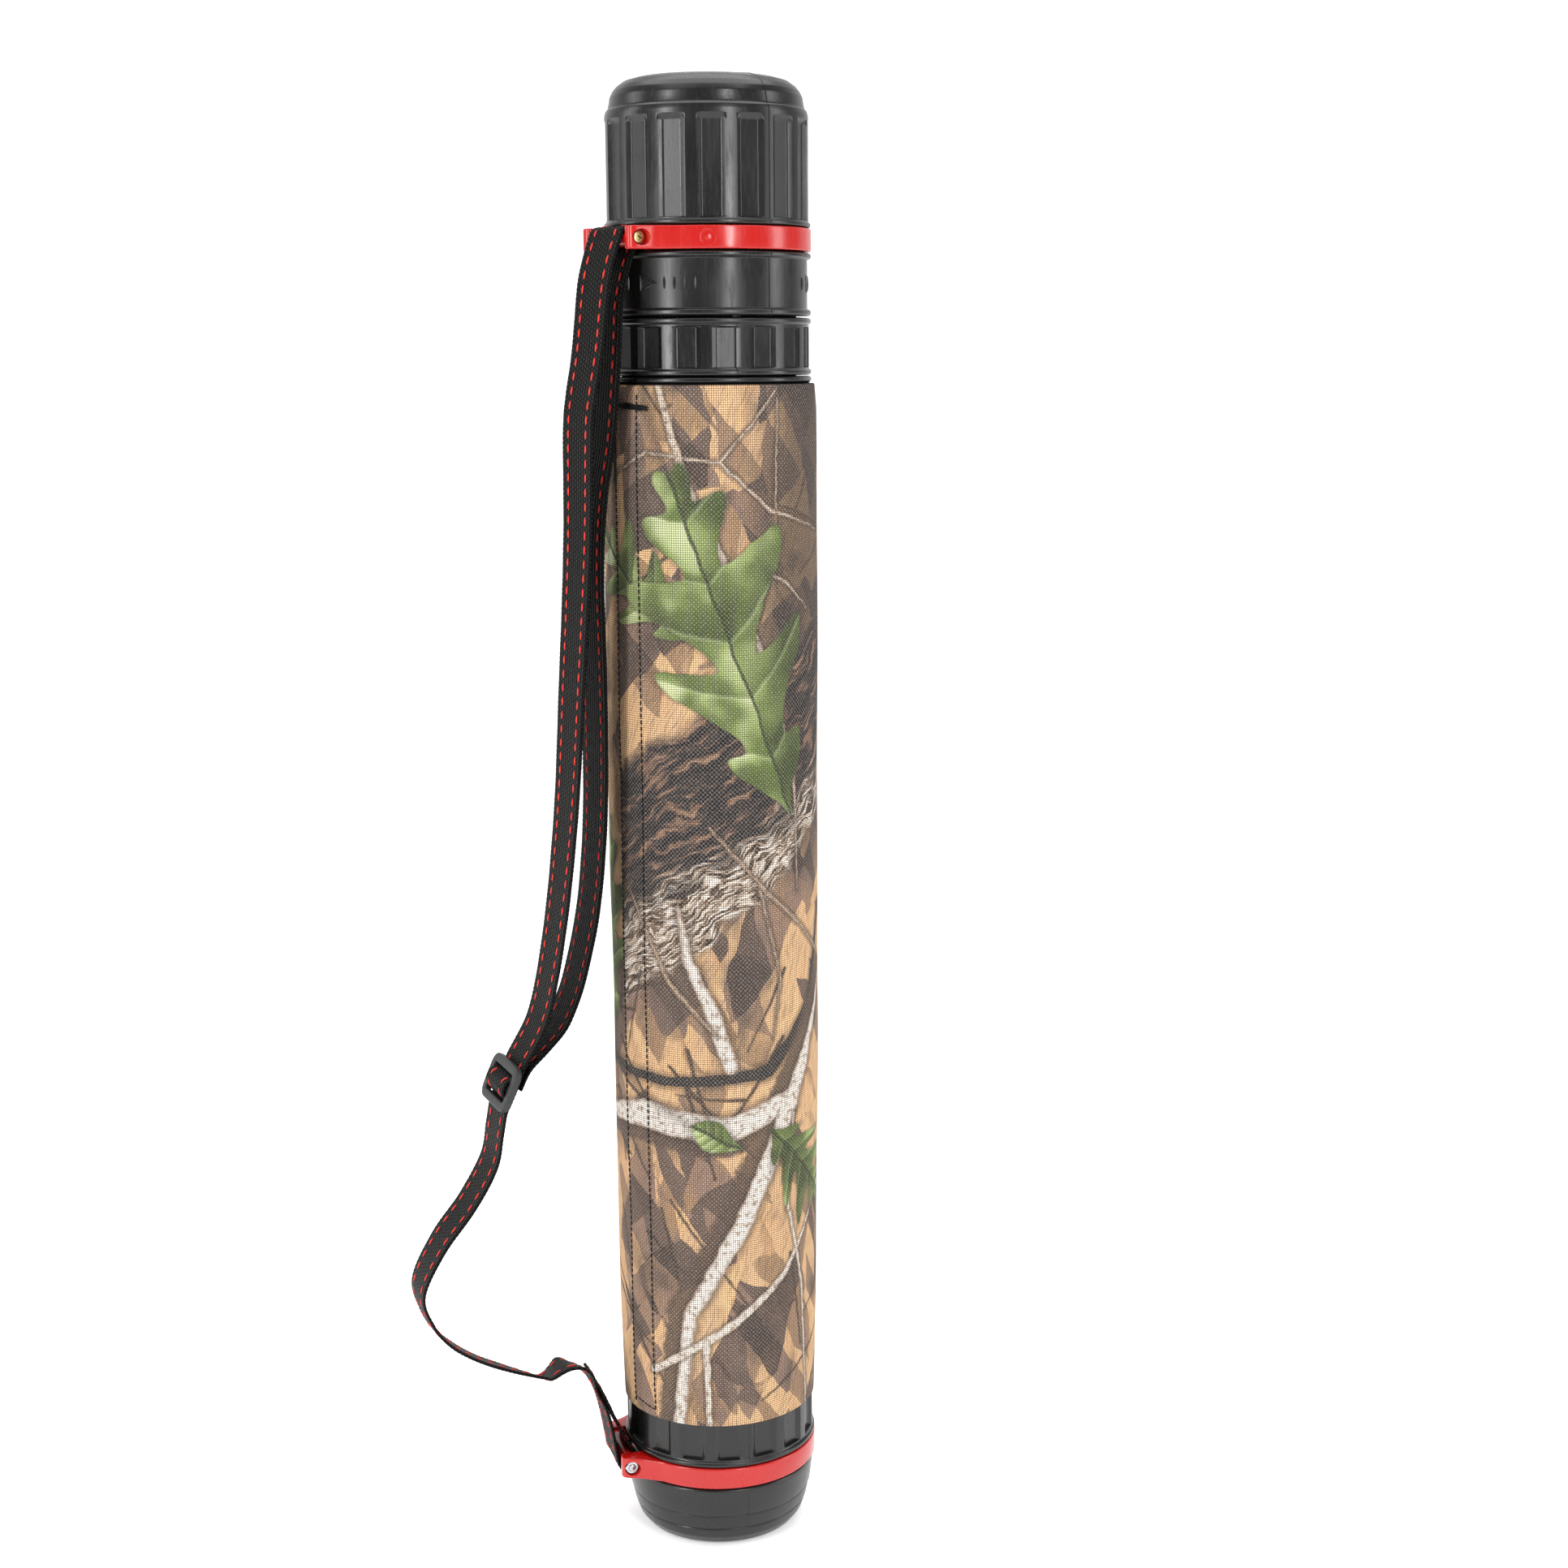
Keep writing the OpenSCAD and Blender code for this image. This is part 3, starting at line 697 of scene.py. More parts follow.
    def leaves(self, place):
        oak = [(0.0, 0.0), (1.0, 0.0), (0.05, 0.1), (0.14, 0.5), (0.2, 0.26), (0.36, 0.95), (0.44, 0.24),
               (0.6, 1.0), (0.7, 0.2), (0.82, 0.5), (0.89, 0.15), (0.95, 0.2)]
        plain = [(0.0, 0.0), (1.0, 0.0), (0.2, 0.5), (0.4, 0.95), (0.6, 0.85), (0.8, 0.5)]
        self.leaf(place, (-6, 408), (-62, 452), 20, oak, 0.1)
        self.leaf(place, (36, 332), (-18, 478), 38, oak)
        self.leaf(place, (24, 196), (62, 158), 22, oak)
        self.leaf(place, (12, 188), (-12, 200), 7, plain)
        self.leaf(place, (-62, 230), (-60, 330), 16, oak)


def sleeve_material():
    """Printed oxford cloth: a made-up design of leaves, bark and twigs on a plain weave."""
    g = Shader("sleeve_cloth", Specular_IOR_Level=0.05)
    art = Print(g)
    art.ground()
    art.log()
    # From here on, what is drawn shows once on the front and once on the back
    folded = g.combine(g.math("WRAP", art.across, PRINT_WIDTH / 2, -PRINT_WIDTH / 2), art.up)
    fine = art.wobble(folded, 0.2, 2.0)
    art.stalks(fine)
    art.branches(art.wobble(folded, 0.12, 3.5))
    art.twigs(fine)
    art.leaves(art.wobble(folded, 0.05, 5.0))

    # Threads over and under, with painted shade in the gap at each corner and a painted highlight on the
    # threads that pass over
    column = g.math("DIVIDE", art.across, THREAD_PITCH)
    row = g.math("DIVIDE", art.up, THREAD_PITCH)
    ridge_u = g.hump(column)
    ridge_v = g.hump(row)
    cell = g.plus(g.math("FLOOR", g.plus(column, 400.0)), g.math("FLOOR", row))
    over_warp = g.math("MODULO", cell, 2.0)
    weave = g.plus(g.times(over_warp, ridge_u), g.times(g.minus(1.0, over_warp), ridge_v))
    gap = g.times(ridge_u, ridge_v)
    yarn = g.noise(g.combine(column, row), 1.3, 2.0)
    # Painted shade: the gaps between threads are darkened
    art.paint(g.step(gap, 0.55, 0.0, 0.0, 0.9), "#2b2422")
    # Painted highlight: threads that pass over are lightened with a pale colour
    art.paint(g.times(over_warp, g.step(yarn, 0.3, 0.75, 0.02, 0.17)), "#f3ece2")
    g.set(Base_Color=art.colour)
    g.set(Roughness=g.step(yarn, 0.2, 0.8, 0.62, 0.82))
    g.set(Normal=g.bump(g.plus(weave, g.times(yarn, 0.2)), 0.00022, 0.7))
    return g.material


TUBE = plastic("tube_plastic", "#0b0b0b", "#131312", 0.27)
RED = plastic("ring_plastic", "#a80f0b", "#b6140f", 0.22, 0.15)
GREY = plastic("slider_plastic", "#1a1b1c", "#242526", 0.5, 0.0, 0.00004)
STEEL = metal("bolt_steel", "#c9cbce", 0.22)
BRASS = metal("bolt_brass", "#dccb92", 0.28)
FOAM = foam_material()
WEBBING = webbing_material()
RED_THREAD = thread("red_thread", "#e8402f", "#a81712")
BLACK_THREAD = thread("black_thread", "#161413", "#050505")
CLOTH = sleeve_material()


# Camera, floor and light

def aim_camera():
    data = bpy.data.cameras.new("view")
    data.sensor_width = 36
    data.lens = LENS
    camera = bpy.data.objects.new("view", data)
    bpy.context.scene.collection.objects.link(camera)
    yaw, pitch, roll = radians(YAW), radians(PITCH), radians(ROLL)
    forward = Vector((sin(yaw) * cos(pitch), cos(yaw) * cos(pitch), -sin(pitch)))
    level = Vector((cos(yaw), -sin(yaw), 0))
    above = level.cross(forward)
    right = level * cos(roll) + above * sin(roll)
    up = above * cos(roll) - level * sin(roll)
    camera.matrix_world = Matrix((right, up, -forward)).transposed().to_4x4()
    camera.matrix_world.translation = Vector(CAMERA_AT)
    bpy.context.scene.camera = camera


def set_stage():
    """White paper that curves up behind the object, with tall soft boxes at both sides."""
    g = Shader("paper", Roughness=0.9, Emission_Color=(1, 1, 1, 1), Emission_Strength=0.3)
    grain = g.noise(g.place(), 40.0, 3.0)
    g.set(Base_Color=g.mix(grain, "#f4f4f4", "#fafafa"))
    bend = [(1400 + 1200 * sin(a), 1200 - 1200 * cos(a)) for a in np.linspace(0.2, pi / 2, 8)]
    profile = [(-3000, 0), (1400, 0)] + bend + [(2600, 4000)]
    points = [(x, y, z) for y, z in profile for x in (-4000, 4000)]
    floor = piece("floor", points, grid(len(profile), 2, around=False), g.material, sharp=180)

    world = bpy.data.worlds.new("studio")
    world.use_nodes = True
    tree = world.node_tree
    seen = tree.nodes.new("ShaderNodeLightPath").outputs["Is Camera Ray"]
    glow = tree.nodes.new("ShaderNodeMath")
    glow.operation = "MULTIPLY_ADD"
    glow.inputs[1].default_value = 0.7
    glow.inputs[2].default_value = 0.3
    tree.links.new(seen, glow.inputs[0])
    tree.links.new(glow.outputs[0], tree.nodes["Background"].inputs[1])
    tree.nodes["Background"].inputs[0].default_value = (1, 1, 1, 1)
    bpy.context.scene.world = world
    bpy.context.scene.view_settings.view_transform = "Standard"
    for name, place, size, power in (
        ("left_box", (-0.88, -0.85, 0.65), (0.18, 1.1), 10),
        ("right_box", (0.52, -1.12, 0.75), (0.14, 1.0), 8),
        ("right_side_box", (1.2, -0.15, 0.6), (0.3, 1.2), 6),
        ("left_side_box", (-1.2, 0.1, 0.6), (0.25, 1.2), 5),
        ("top_box", (0, 0.1, 2.2), (2.4, 2.0), 40),
    ):
        light = bpy.data.lights.new(name, "AREA")
        light.shape = "RECTANGLE"
        light.size, light.size_y = size
        light.energy = power
        lamp = bpy.data.objects.new(name, light)
        lamp.location = place
        lamp.rotation_euler = (Vector((0, 0, 0.3)) - Vector(place)).to_track_quat("-Z", "Y").to_euler()
        bpy.context.scene.collection.objects.link(lamp)


aim_camera()
set_stage()


# Tubes and lid

def flute_angles(phase):
    """Headings that follow the flutes' floors, sides and crests."""
    half = (2.6, 4.6, 5.2, 5.6, 6.2, 7.2, 8.2, 8.7, 9.1, 9.7)
    offsets = sorted([0.0, FLUTE_STEP / 2] + list(half) + [-a for a in half])
    return [FRONT + phase + k * FLUTE_STEP + a for k in range(FLUTE_COUNT) for a in offsets]


def soft_min(a, b, width):
    return np.minimum(a, b) - np.maximum(width - np.abs(a - b), 0) ** 2 / (4 * width)


def fluted(phase, low, high, slope):
    """Radius of a band with flat-floored flutes, whose tops slope out over the last few millimetres."""
    def shape(radius, height, turn):
        period = radians(FLUTE_STEP)
        off = np.abs((turn - radians(FRONT + phase) + period / 2) % period - period / 2)
        rise = FLUTE_DEPTH / ((FLUTE_OPEN - FLUTE_FLOOR) / 2)
        floor = FLOOR_R / np.cos(off)
        side = (FLOOR_R - rise * FLUTE_FLOOR / 2) / (np.cos(off) - rise * np.sin(off))
        depth = -soft_min(-floor, -side, 0.1)
        target = soft_min(depth, np.broadcast_to(radius, (radius.shape[0], off.shape[1])), 0.14)
        share = np.clip((height - low) / 0.3, 0, 1) * np.clip((high - height) / slope, 0, 1)
        inside = share * (radius > FLOOR_R)
        return radius * (1 - inside) + target * inside
    return shape


def ridge(outline, angle, shape):
    """Parting line of a mould: a low ridge up an open outline of (radius, height)."""
    rows = []
    for offset, out in ((-0.35, -0.05), (0, 0.3), (0.35, -0.05)):
        row = []
        for r, z in outline:
            a = radians(angle) + offset / max(r, 4)
            r = float(shape(np.array([[r]]), np.array([[z]]), np.array([[a]]))[0, 0])
            top = out * min(1, r / 8)
            row.append(polar(r + top, a, z + top * 0.5 * (r < 38)))
        rows.append(row)
    n = len(outline)
    return [p for row in rows for p in row], grid(3, n, around=False)


def bead(low, high, radius):
    return [(radius - 0.8, low), (radius, low + 0.6), (radius, high - 0.6), (radius - 0.8, high)]


def build_outer_tube():
    groove_low = LOWER_RING[0] - 0.35
    groove_top = LOWER_RING[1] + 0.35
    band_low = groove_top + 2.9
    dome = [(31, 0), (34.8, 1.4), (37.6, 5), (38.9, 8.9), (38.5, 9.7), (39.5, 10.5), (40.5, 15.6),
            (40.2, 16.4), (41.1, 17.3), (41.8, 22), (42.4, 27.6), (42.2, 29.4), (GROOVE_R, groove_low)]
    side = [(GROOVE_R, groove_top)] + bead(groove_top, groove_top + 2.5, BEAD_R)
    side += [(CREST_R, z) for z in (band_low, band_low + 0.5, band_low + 0.9, MOUTH - 6, MOUTH - 5.5,
                                    MOUTH - 2.9)]
    side += bead(MOUTH - 2.5, MOUTH, BEAD_R)
    inside = [(BORE_R, MOUTH), (BORE_R, 24), (36.5, 12), (32, PAD_LOW + 1.4), (28, PAD_LOW - 0.1),
              (0, PAD_LOW - 0.1)]
    foot = [(0, 0.9), (24, 0.8), (24.5, 0.1), (26, 0.1), (26.5, 0.8), (29.6, 0.8), (30.2, 0)]
    shape = fluted(5.5, band_low + 0.5, MOUTH - 5.5, 0.4)
    outer = rounded(dome + side, 0.45, 3, closed=False)
    body = lathe(rounded(foot, 0.3) + outer + rounded(inside, 0.4), flute_angles(5.5), shape)
    lines = [ridge(outer, FRONT + 17.4 + turn, shape) for turn in (0, 180)]
    teeth = [block(turn - 6, turn + 6, NECK_R + 0.3, BORE_R + 0.5, *TOOTH) for turn in KEYS]
    obj = piece("outer_tube_shell", *join(body, *lines, *teeth), TUBE)
    settle(obj, "outer_tube", "tube_plastic", "outer_tube")


def build_inner_tube():
    head_low = MOUTH + 0.5
    head_top = LID_LOW - 0.5
    band_low = head_low + 3.1
    outline = [(INNER_BORE_R, FOOT), (LADDER_R, FOOT), (LADDER_R, FOOT + 6), (INNER_R, FOOT + 9),
               (INNER_R, head_low - 3), (NECK_R, head_low)]
    outline += bead(head_low, head_low + 2.5, BEAD_R)
    outline += [(CREST_R, z) for z in (head_low + 2.8, band_low, band_low + 0.4,
                                       head_top - 4.4, head_top - 4, head_top - 3.2)]
    outline += bead(head_top - 2.9, head_top - 0.4, BEAD_R - 0.1)
    outline += [(NECK_R, head_top), (NECK_R, NECK_TOP - 1), (NECK_R - 1, NECK_TOP), (INNER_BORE_R, NECK_TOP)]
    shape = fluted(10, band_low, head_top - 4, 0.4)
    body = lathe(rounded(outline, 0.4, 3), flute_angles(10), shape)
    seam = rounded(outline[6:16], 0.4, 3, closed=False)
    lines = [ridge(seam, FRONT + 15.5 + turn, shape) for turn in (0, 180)]
    parts = [body, *lines, block(0, 359.9, INNER_R - 0.5, LADDER_R, *STOP_COLLAR)]
    rungs = [RUNG_TOP - RUNG_PITCH * i for i in range(RUNG_COUNT)]
    for turn in KEYS:
        parts += [block(turn - 39, turn - 18, INNER_R - 0.5, LADDER_R, z - RUNG_HEIGHT, z) for z in rungs]
        rail = (rungs[-1] - RUNG_HEIGHT - 1, RUNG_TOP + 1)
        parts += [block(turn + a, turn + a + 3, INNER_R - 0.5, LADDER_R, *rail, 0.3) for a in (-41, 8)]
        parts.append(block(turn + 17, turn + 103, NECK_R - 0.5, 39, *LEDGE))
        parts.append(block(turn + 44, turn + 50, NECK_R - 0.5, 39, head_top - 0.3, LEDGE[0] + 0.4))
    obj = piece("inner_tube_shell", *join(*parts), TUBE)
    settle(obj, "inner_tube", "tube_plastic", "inner_tube")


def raised_line(route, heading):
    """A low rounded line on the lid's collar, along points of (mm to the right of a heading, height)."""
    dense = []
    for (x0, z0), (x1, z1) in zip(route, route[1:]):
        steps = max(2, int(hypot(x1 - x0, z1 - z0) / 1.5))
        dense += [(x0 + (x1 - x0) * i / steps, z0 + (z1 - z0) * i / steps) for i in range(steps)]
    dense.append(route[-1])
    a0 = radians(FRONT + heading)
    path = [polar(COLLAR_R + 0.02, a0 + x / COLLAR_R, z) for x, z in dense]
    return tube(path, 0.55, 8)


def build_lid():
    groove_low = UPPER_RING[0] - 0.35
    cap = UPPER_RING[1] + 0.35
    band_top = CROWN - 14
    outline = bead(LID_LOW, LID_LOW + 2.7, BEAD_R - 0.1)
    outline += [(COLLAR_R, LID_LOW + 2.9), (COLLAR_R, groove_low - 2.9)]
    outline += bead(groove_low - 2.7, groove_low - 0.3, BEAD_R) + [(GROOVE_R, groove_low), (GROOVE_R, cap)]
    outline += bead(cap, cap + 2.4, BEAD_R - 0.2)
    outline += [(CREST_R, z) for z in (cap + 2.6, cap + 2.9, cap + 3.3, band_top - 6.6, band_top - 4.2,
                                       band_top - 2.5)]
    outline += [(41.9, band_top - 0.6), (41.2, band_top), (40.9, band_top + 0.6), (40.5, band_top + 2.5),
                (40.1, band_top + 5), (39, band_top + 7.3), (37.4, band_top + 9.2), (34.5, band_top + 11.3),
                (30, band_top + 12.6), (22, CROWN - 0.5), (12, CROWN - 0.1), (0, CROWN)]
    inside = [(0, CROWN - 2.4), (28, 635.2), (34, 633.2), (37, 630), (38, 625), (38.4, 620), (39.3, 590),
              (39.3, LID_LOW)]
    shape = fluted(2.6, cap + 2.9, band_top - 4.2, 2.4)
    outer = rounded(outline, 0.4, 3, closed=False)
    parts = [lathe(outer + rounded(inside, 0.4), flute_angles(2.6), shape)]
    parts += [ridge(outer, FRONT + 36.7 + turn, shape) for turn in (0, 180)]
    parts += [block(turn - 13, turn + 13, NECK_R + 0.3, 39.8, *LID_LUG) for turn in KEYS]
    middle = (LID_LOW + groove_low) / 2
    for turn in KEYS:
        foot, tip, head = (-1.2, middle - 3.2), (6.2, middle), (-1.2, middle + 3.2)
        parts.append(raised_line([foot, tip, head, foot], turn - 39))
        parts.append(raised_line([(0, middle - 2.6), (0, middle + 2.6)], turn - 51))
        parts += [raised_line([(x, middle - 2.4), (x, middle + 2.4)], turn - 25) for x in 4.4 * np.arange(4)]
    obj = piece("lid_shell", *join(*parts), TUBE)
    settle(obj, "lid", "tube_plastic", "lid")


build_outer_tube()
build_inner_tube()
build_lid()


# Clamp rings

def clamp_ring(name, body, heights, heading, marked):
    """A ring with two lugs and recesses for the bolt, its bar, and the moulding's gate mark if it shows."""
    low, high = heights
    middle = (low + high) / 2
    reach = degrees(atan2(27.6, 33.6))
    gap = degrees(asin(LUG_IN / RING_BORE_R))
    lug = rounded([(38.76, LUG_IN), (49.6, LUG_IN), (50.2, LUG_IN + 1.5), (50.2, 17.8), (48.6, LUG_OUT),
                   (41.6, 22.4), (36.4, 25.9)], 1.0, 3, closed=False)
    outline = lug + arc(0, 0, RING_R, reach, 360 - reach, 150)
    outline += [(x, -y) for x, y in reversed(lug)] + arc(0, 0, RING_BORE_R, -gap, gap - 360, 150)[1:-1]
    points, faces = slab(outline, low, high, 0.6)
    ring = piece(name, turned(points, heading), faces, RED)
    for side in (-1, 1):
        hole = [(BAR_X + x, side * RECESS_Y, middle + z) for x, z in arc(0, 0, RECESS_R, 0, 352.5, 47)]
        mouth = [(x, side * 30, z) for x, y, z in hole]
        cut(ring, piece("recess", turned(hole + mouth, heading), capped(2, len(hole)), RED))
    bar = [(BAR_R - 0.3, -LUG_IN - 0.6), (BAR_R, -LUG_IN), (BAR_R, LUG_IN), (BAR_R - 0.3, LUG_IN + 0.6),
           (1.7, LUG_IN + 0.6), (1.7, -LUG_IN - 0.6)]
    points, faces = lathe(rounded(bar, 0.3), range(0, 360, 10))
    points = [(BAR_X + x, z, middle + y) for x, y, z in points]
    shaft = piece(name + "_bar", turned(points, heading), faces, RED)
    settle(ring, body, "ring_plastic", body)
    settle(shaft, body, "ring_plastic")
    if marked:
        rims = ((3.6, -0.1), (3.4, 0.12), (3.1, 0.12), (2.9, 0.02), (0.9, 0.02), (0.7, 0.14), (0.02, 0.16))
        points = [polar(RING_R + lift, radians(FRONT) + x / RING_R, middle + z)
                  for r, lift in rims for x, z in arc(0, 0, r, 0, 350, 35)]
        settle(piece(name + "_gate_mark", points, grid(len(rims), 36), RED), body, "ring_plastic")


def place_bolt(points, heading, middle, side):
    """Puts points drawn along +z (out from the lug) at one end of a ring's bar."""
    return turned([(BAR_X + x, side * z, middle + y) for x, y, z in points], heading)


def bolt(name, body, heights, heading, side, material, slot):
    """A domed head with a cross recess, and a threaded shank through both lugs."""
    middle = sum(heights) / 2
    head = [(0, 0), (2.75, 0), (2.75, 0.9), (2.5, 1.4), (1.9, 1.7), (1.1, 1.8), (0, 1.8)]
    points, faces = lathe(rounded([(r, RECESS_Y + z) for r, z in head], 0.2), range(0, 360, 10))
    obj = piece(name, place_bolt(points, heading, middle, side), faces, material)
    for a in (radians(25), radians(115)):
        plan = [(-1.55, -0.3), (1.55, -0.3), (1.55, 0.3), (-1.55, 0.3)]
        cross = [(x * cos(a) - y * sin(a), x * sin(a) + y * cos(a)) for x, y in plan]
        points = [(x * 0.5, y, RECESS_Y + 0.5) for x, y in cross] + [(x, y, RECESS_Y + 3) for x, y in cross]
        cut(obj, piece("cross", place_bolt(points, heading, middle, side), capped(2, 4), material))
    shank = []
    rings = int((2 * RECESS_Y + 2.5) / (THREAD_LEAD / 4))
    for i in range(rings):
        z = -RECESS_Y - 2.5 + THREAD_LEAD / 4 * i
        radii = [1.38 + 0.12 * cos(2 * pi * (z / THREAD_LEAD - k / 16)) for k in range(16)]
        shank += [polar(r, pi * k / 8, z) for k, r in enumerate(radii)]
    points = place_bolt(shank, heading, middle, side)
    settle(obj, body, slot, body + "_bolt")
    settle(piece(name + "_thread", points, capped(rings, 16), material, sharp=60), body, slot)


def nut(name, body, heights, heading, side):
    """A hexagon with chamfered corners and a bore."""
    low, high = RECESS_Y + 0.02, RECESS_Y + 2.25
    corners = [polar(NUT_WIDTH / sqrt(3), radians(60 * k), 0) for k in range(7)]
    plan = []
    for (x0, y0, _), (x1, y1, _) in zip(corners, corners[1:]):
        edge = [(x0 + (x1 - x0) * t / 6, y0 + (y1 - y0) * t / 6) for t in range(6)]
        plan += [(hypot(x, y), atan2(y, x)) for x, y in edge]
    points = []
    for z, limit in ((low, 2.8), (low + 0.3, 4), (high - 0.35, 4), (high, 2.6)):
        points += [polar(min(reach, limit), a, z) for reach, a in plan]
    for z, r in ((high, 1.75), (high - 0.3, 1.52), (low, 1.52)):
        points += [polar(r, a, z) for _, a in plan]
    points = place_bolt(points, heading, sum(heights) / 2, side)
    obj = piece(name, points, grid(7, len(plan), closed=True), STEEL, sharp=30)
    settle(obj, body, "bolt_steel", body + "_nut")


LOWER = ("bottom_ring", LOWER_RING, LOWER_HEADING)
UPPER = ("top_ring", UPPER_RING, UPPER_HEADING)
clamp_ring("lower_clamp", *LOWER, False)
clamp_ring("upper_clamp", *UPPER, True)
bolt("lower_screw", *LOWER, -1, STEEL, "bolt_steel")
bolt("upper_screw", *UPPER, 1, BRASS, "bolt_brass")
nut("lower_hex_nut", *LOWER, 1)
nut("upper_hex_nut", *UPPER, -1)


# Strap

def heading_at(z):
    """Heading of the strap: it turns evenly from the lower ring's to the upper ring's."""
    return LOWER_HEADING + (UPPER_HEADING - LOWER_HEADING) * (z - LOWER_BAR) / (UPPER_BAR - LOWER_BAR)


def spline(route, step):
    """Evenly spaced points on a smooth curve through a route, and the length up to each."""
    p = np.array(route, float)
    p = np.vstack([2 * p[0] - p[1], p, 2 * p[-1] - p[-2]])
    t = np.linspace(0, 1, 24, endpoint=False)[:, None]
    fine = [0.5 * (2 * b + (c - a) * t + (2 * a - 5 * b + 4 * c - d) * t ** 2
                   + (3 * b - a - 3 * c + d) * t ** 3) for a, b, c, d in zip(p, p[1:], p[2:], p[3:])]
    fine = np.vstack(fine + [p[-2]])
    run = np.concatenate([[0], np.cumsum(np.linalg.norm(np.diff(fine[:, :2], axis=0), axis=1))])
    stops = np.linspace(0, run[-1], max(2, int(run[-1] / step)) + 1)
    return np.stack([np.interp(stops, run, column) for column in fine.T], 1), stops


def frames(route):
    """Centres, outward directions and cross directions along a strap's route, and the length so far."""
    line, run = spline([(*p, 0)[:3] for p in route], 1.0)
    along = np.gradient(line[:, :2], axis=0)
    along /= np.linalg.norm(along, axis=1)[:, None]
    centres, normals, sides = [], [], []
    for (r, z, lean), (dr, dz) in zip(line, along):
        a, tilt = radians(180 + heading_at(z)), radians(lean)
        out, level = Vector((cos(a), sin(a), 0)), Vector((-sin(a), cos(a), 0))
        face = out * dz - Vector((0, 0, dr))
        centres.append(out * r + Vector((0, 0, z)))
        normals.append(face * cos(tilt) - level * sin(tilt))
        sides.append(level * cos(tilt) + face * sin(tilt))
    return centres, normals, sides, run


def webbing(name, path):
    """Flat webbing with corded edges along a path of frames."""
    centres, normals, sides, run = path
    half = STRAP_W / 2
    flat = np.linspace(-half + 1.6, half - 1.6, 9)
    lip = [(half - 0.75, 0.9), (half - 0.15, 0.62), (half, 0), (half - 0.15, -0.62), (half - 0.75, -0.9)]
    section = [(x, 0.82) for x in flat] + lip + [(x, -0.82) for x in flat[::-1]]
    section += [(-x, -y) for x, y in lip]
    points, uvs = [], []
    for c, n, s, length in zip(centres, normals, sides, run):
        for x, y in section:
            edge = abs(x) > half - 1.2
            beat = 0.16 * sin(2 * pi * length / 2.1 + (pi if x * y > 0 else 0)) if edge else 0
            reach = x + copysign(beat, x)
            points.append(c + s * reach + n * (y * STRAP_T / 2 * (1 + beat)))
            uvs.append((x, length))
    obj = piece(name, points, capped(len(centres), len(section)), WEBBING, uvs, sharp=60)
    return obj


def stitches(name, path, faces_out=(1, -1)):
    """Dashes of thread in two rows on the webbing's faces."""
    centres, normals, sides, run = path
    lift = STRAP_T / 2 * 0.84 - 0.05
    parts = []
    for start in np.arange(2.0, run[-1] - STITCH_LENGTH, STITCH_PITCH):
        stops = [np.interp(start + STITCH_LENGTH * t, run, range(len(run))) for t in (0, 0.25, 0.5, 0.75, 1)]
        for offset, face in ((x, y) for x in (-STITCH_ROW, STITCH_ROW) for y in faces_out):
            points = []
            for stop, size in zip(stops, (0.35, 0.9, 1.0, 0.9, 0.35)):
                i = min(int(stop), len(run) - 2)
                c = centres[i].lerp(centres[i + 1], stop - i)
                n = normals[i].lerp(normals[i + 1], stop - i) * face
                points += [c + sides[i] * (offset + 0.62 * size * cos(a)) + n * (lift + 0.36 * size * sin(a))
                           for a in np.linspace(0, 2 * pi, 6, endpoint=False)]
            parts.append((points, capped(5, 6)))
    obj = piece(name, *join(*parts), RED_THREAD, sharp=180)
    return obj


def build_strap():
    """A lower length, from its sewn loop to the slider, and an upper one, round the upper bar and back."""
    loop_r = BAR_R + 0.1 + STRAP_T / 2
    lower = LOWER_INNER_LEG + arc(BAR_X, LOWER_BAR, loop_r, 159, 347, 12) + LOWER_OUTER_LEG + LOWER_RUN
    upper = OUTER_LAYER + arc(BAR_X, UPPER_BAR, loop_r, 18, 207, 12) + INNER_LAYER[::-1]
    low_nodes = ("strap_bottom_loop", "strap_lower_run")
    high_nodes = ("strap_outer_layer", "strap_inner_layer", "strap_top_loop")
    for name, route, nodes, bodies, low, high in (
        ("lower_strap", lower, low_nodes, ("bottom_ring", "inner_tube"), 78, 205),
        ("upper_strap", upper, high_nodes, ("inner_tube", "top_ring"), 320, 556),
    ):
        path = frames(route)
        band = webbing(name, path)
        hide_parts(*nodes)
        for obj in (band, stitches(name + "_stitches", path)):
            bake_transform(obj)


def slider_frame():
    """The slider's centre and its directions across, up the strap and outwards."""
    a = radians(180 + heading_at(SLIDER_AT[1]))
    out = Vector((cos(a), sin(a), 0))
    across = Vector((-sin(a), cos(a), 0))
    lean = radians(SLIDER_LEAN)
    up = Vector((0, 0, 1)) * cos(lean) - out * sin(lean)
    normal = out * cos(lean) + Vector((0, 0, 1)) * sin(lean)
    centre = out * SLIDER_AT[0] + Vector((0, 0, SLIDER_AT[1]))
    return centre, across, up, normal


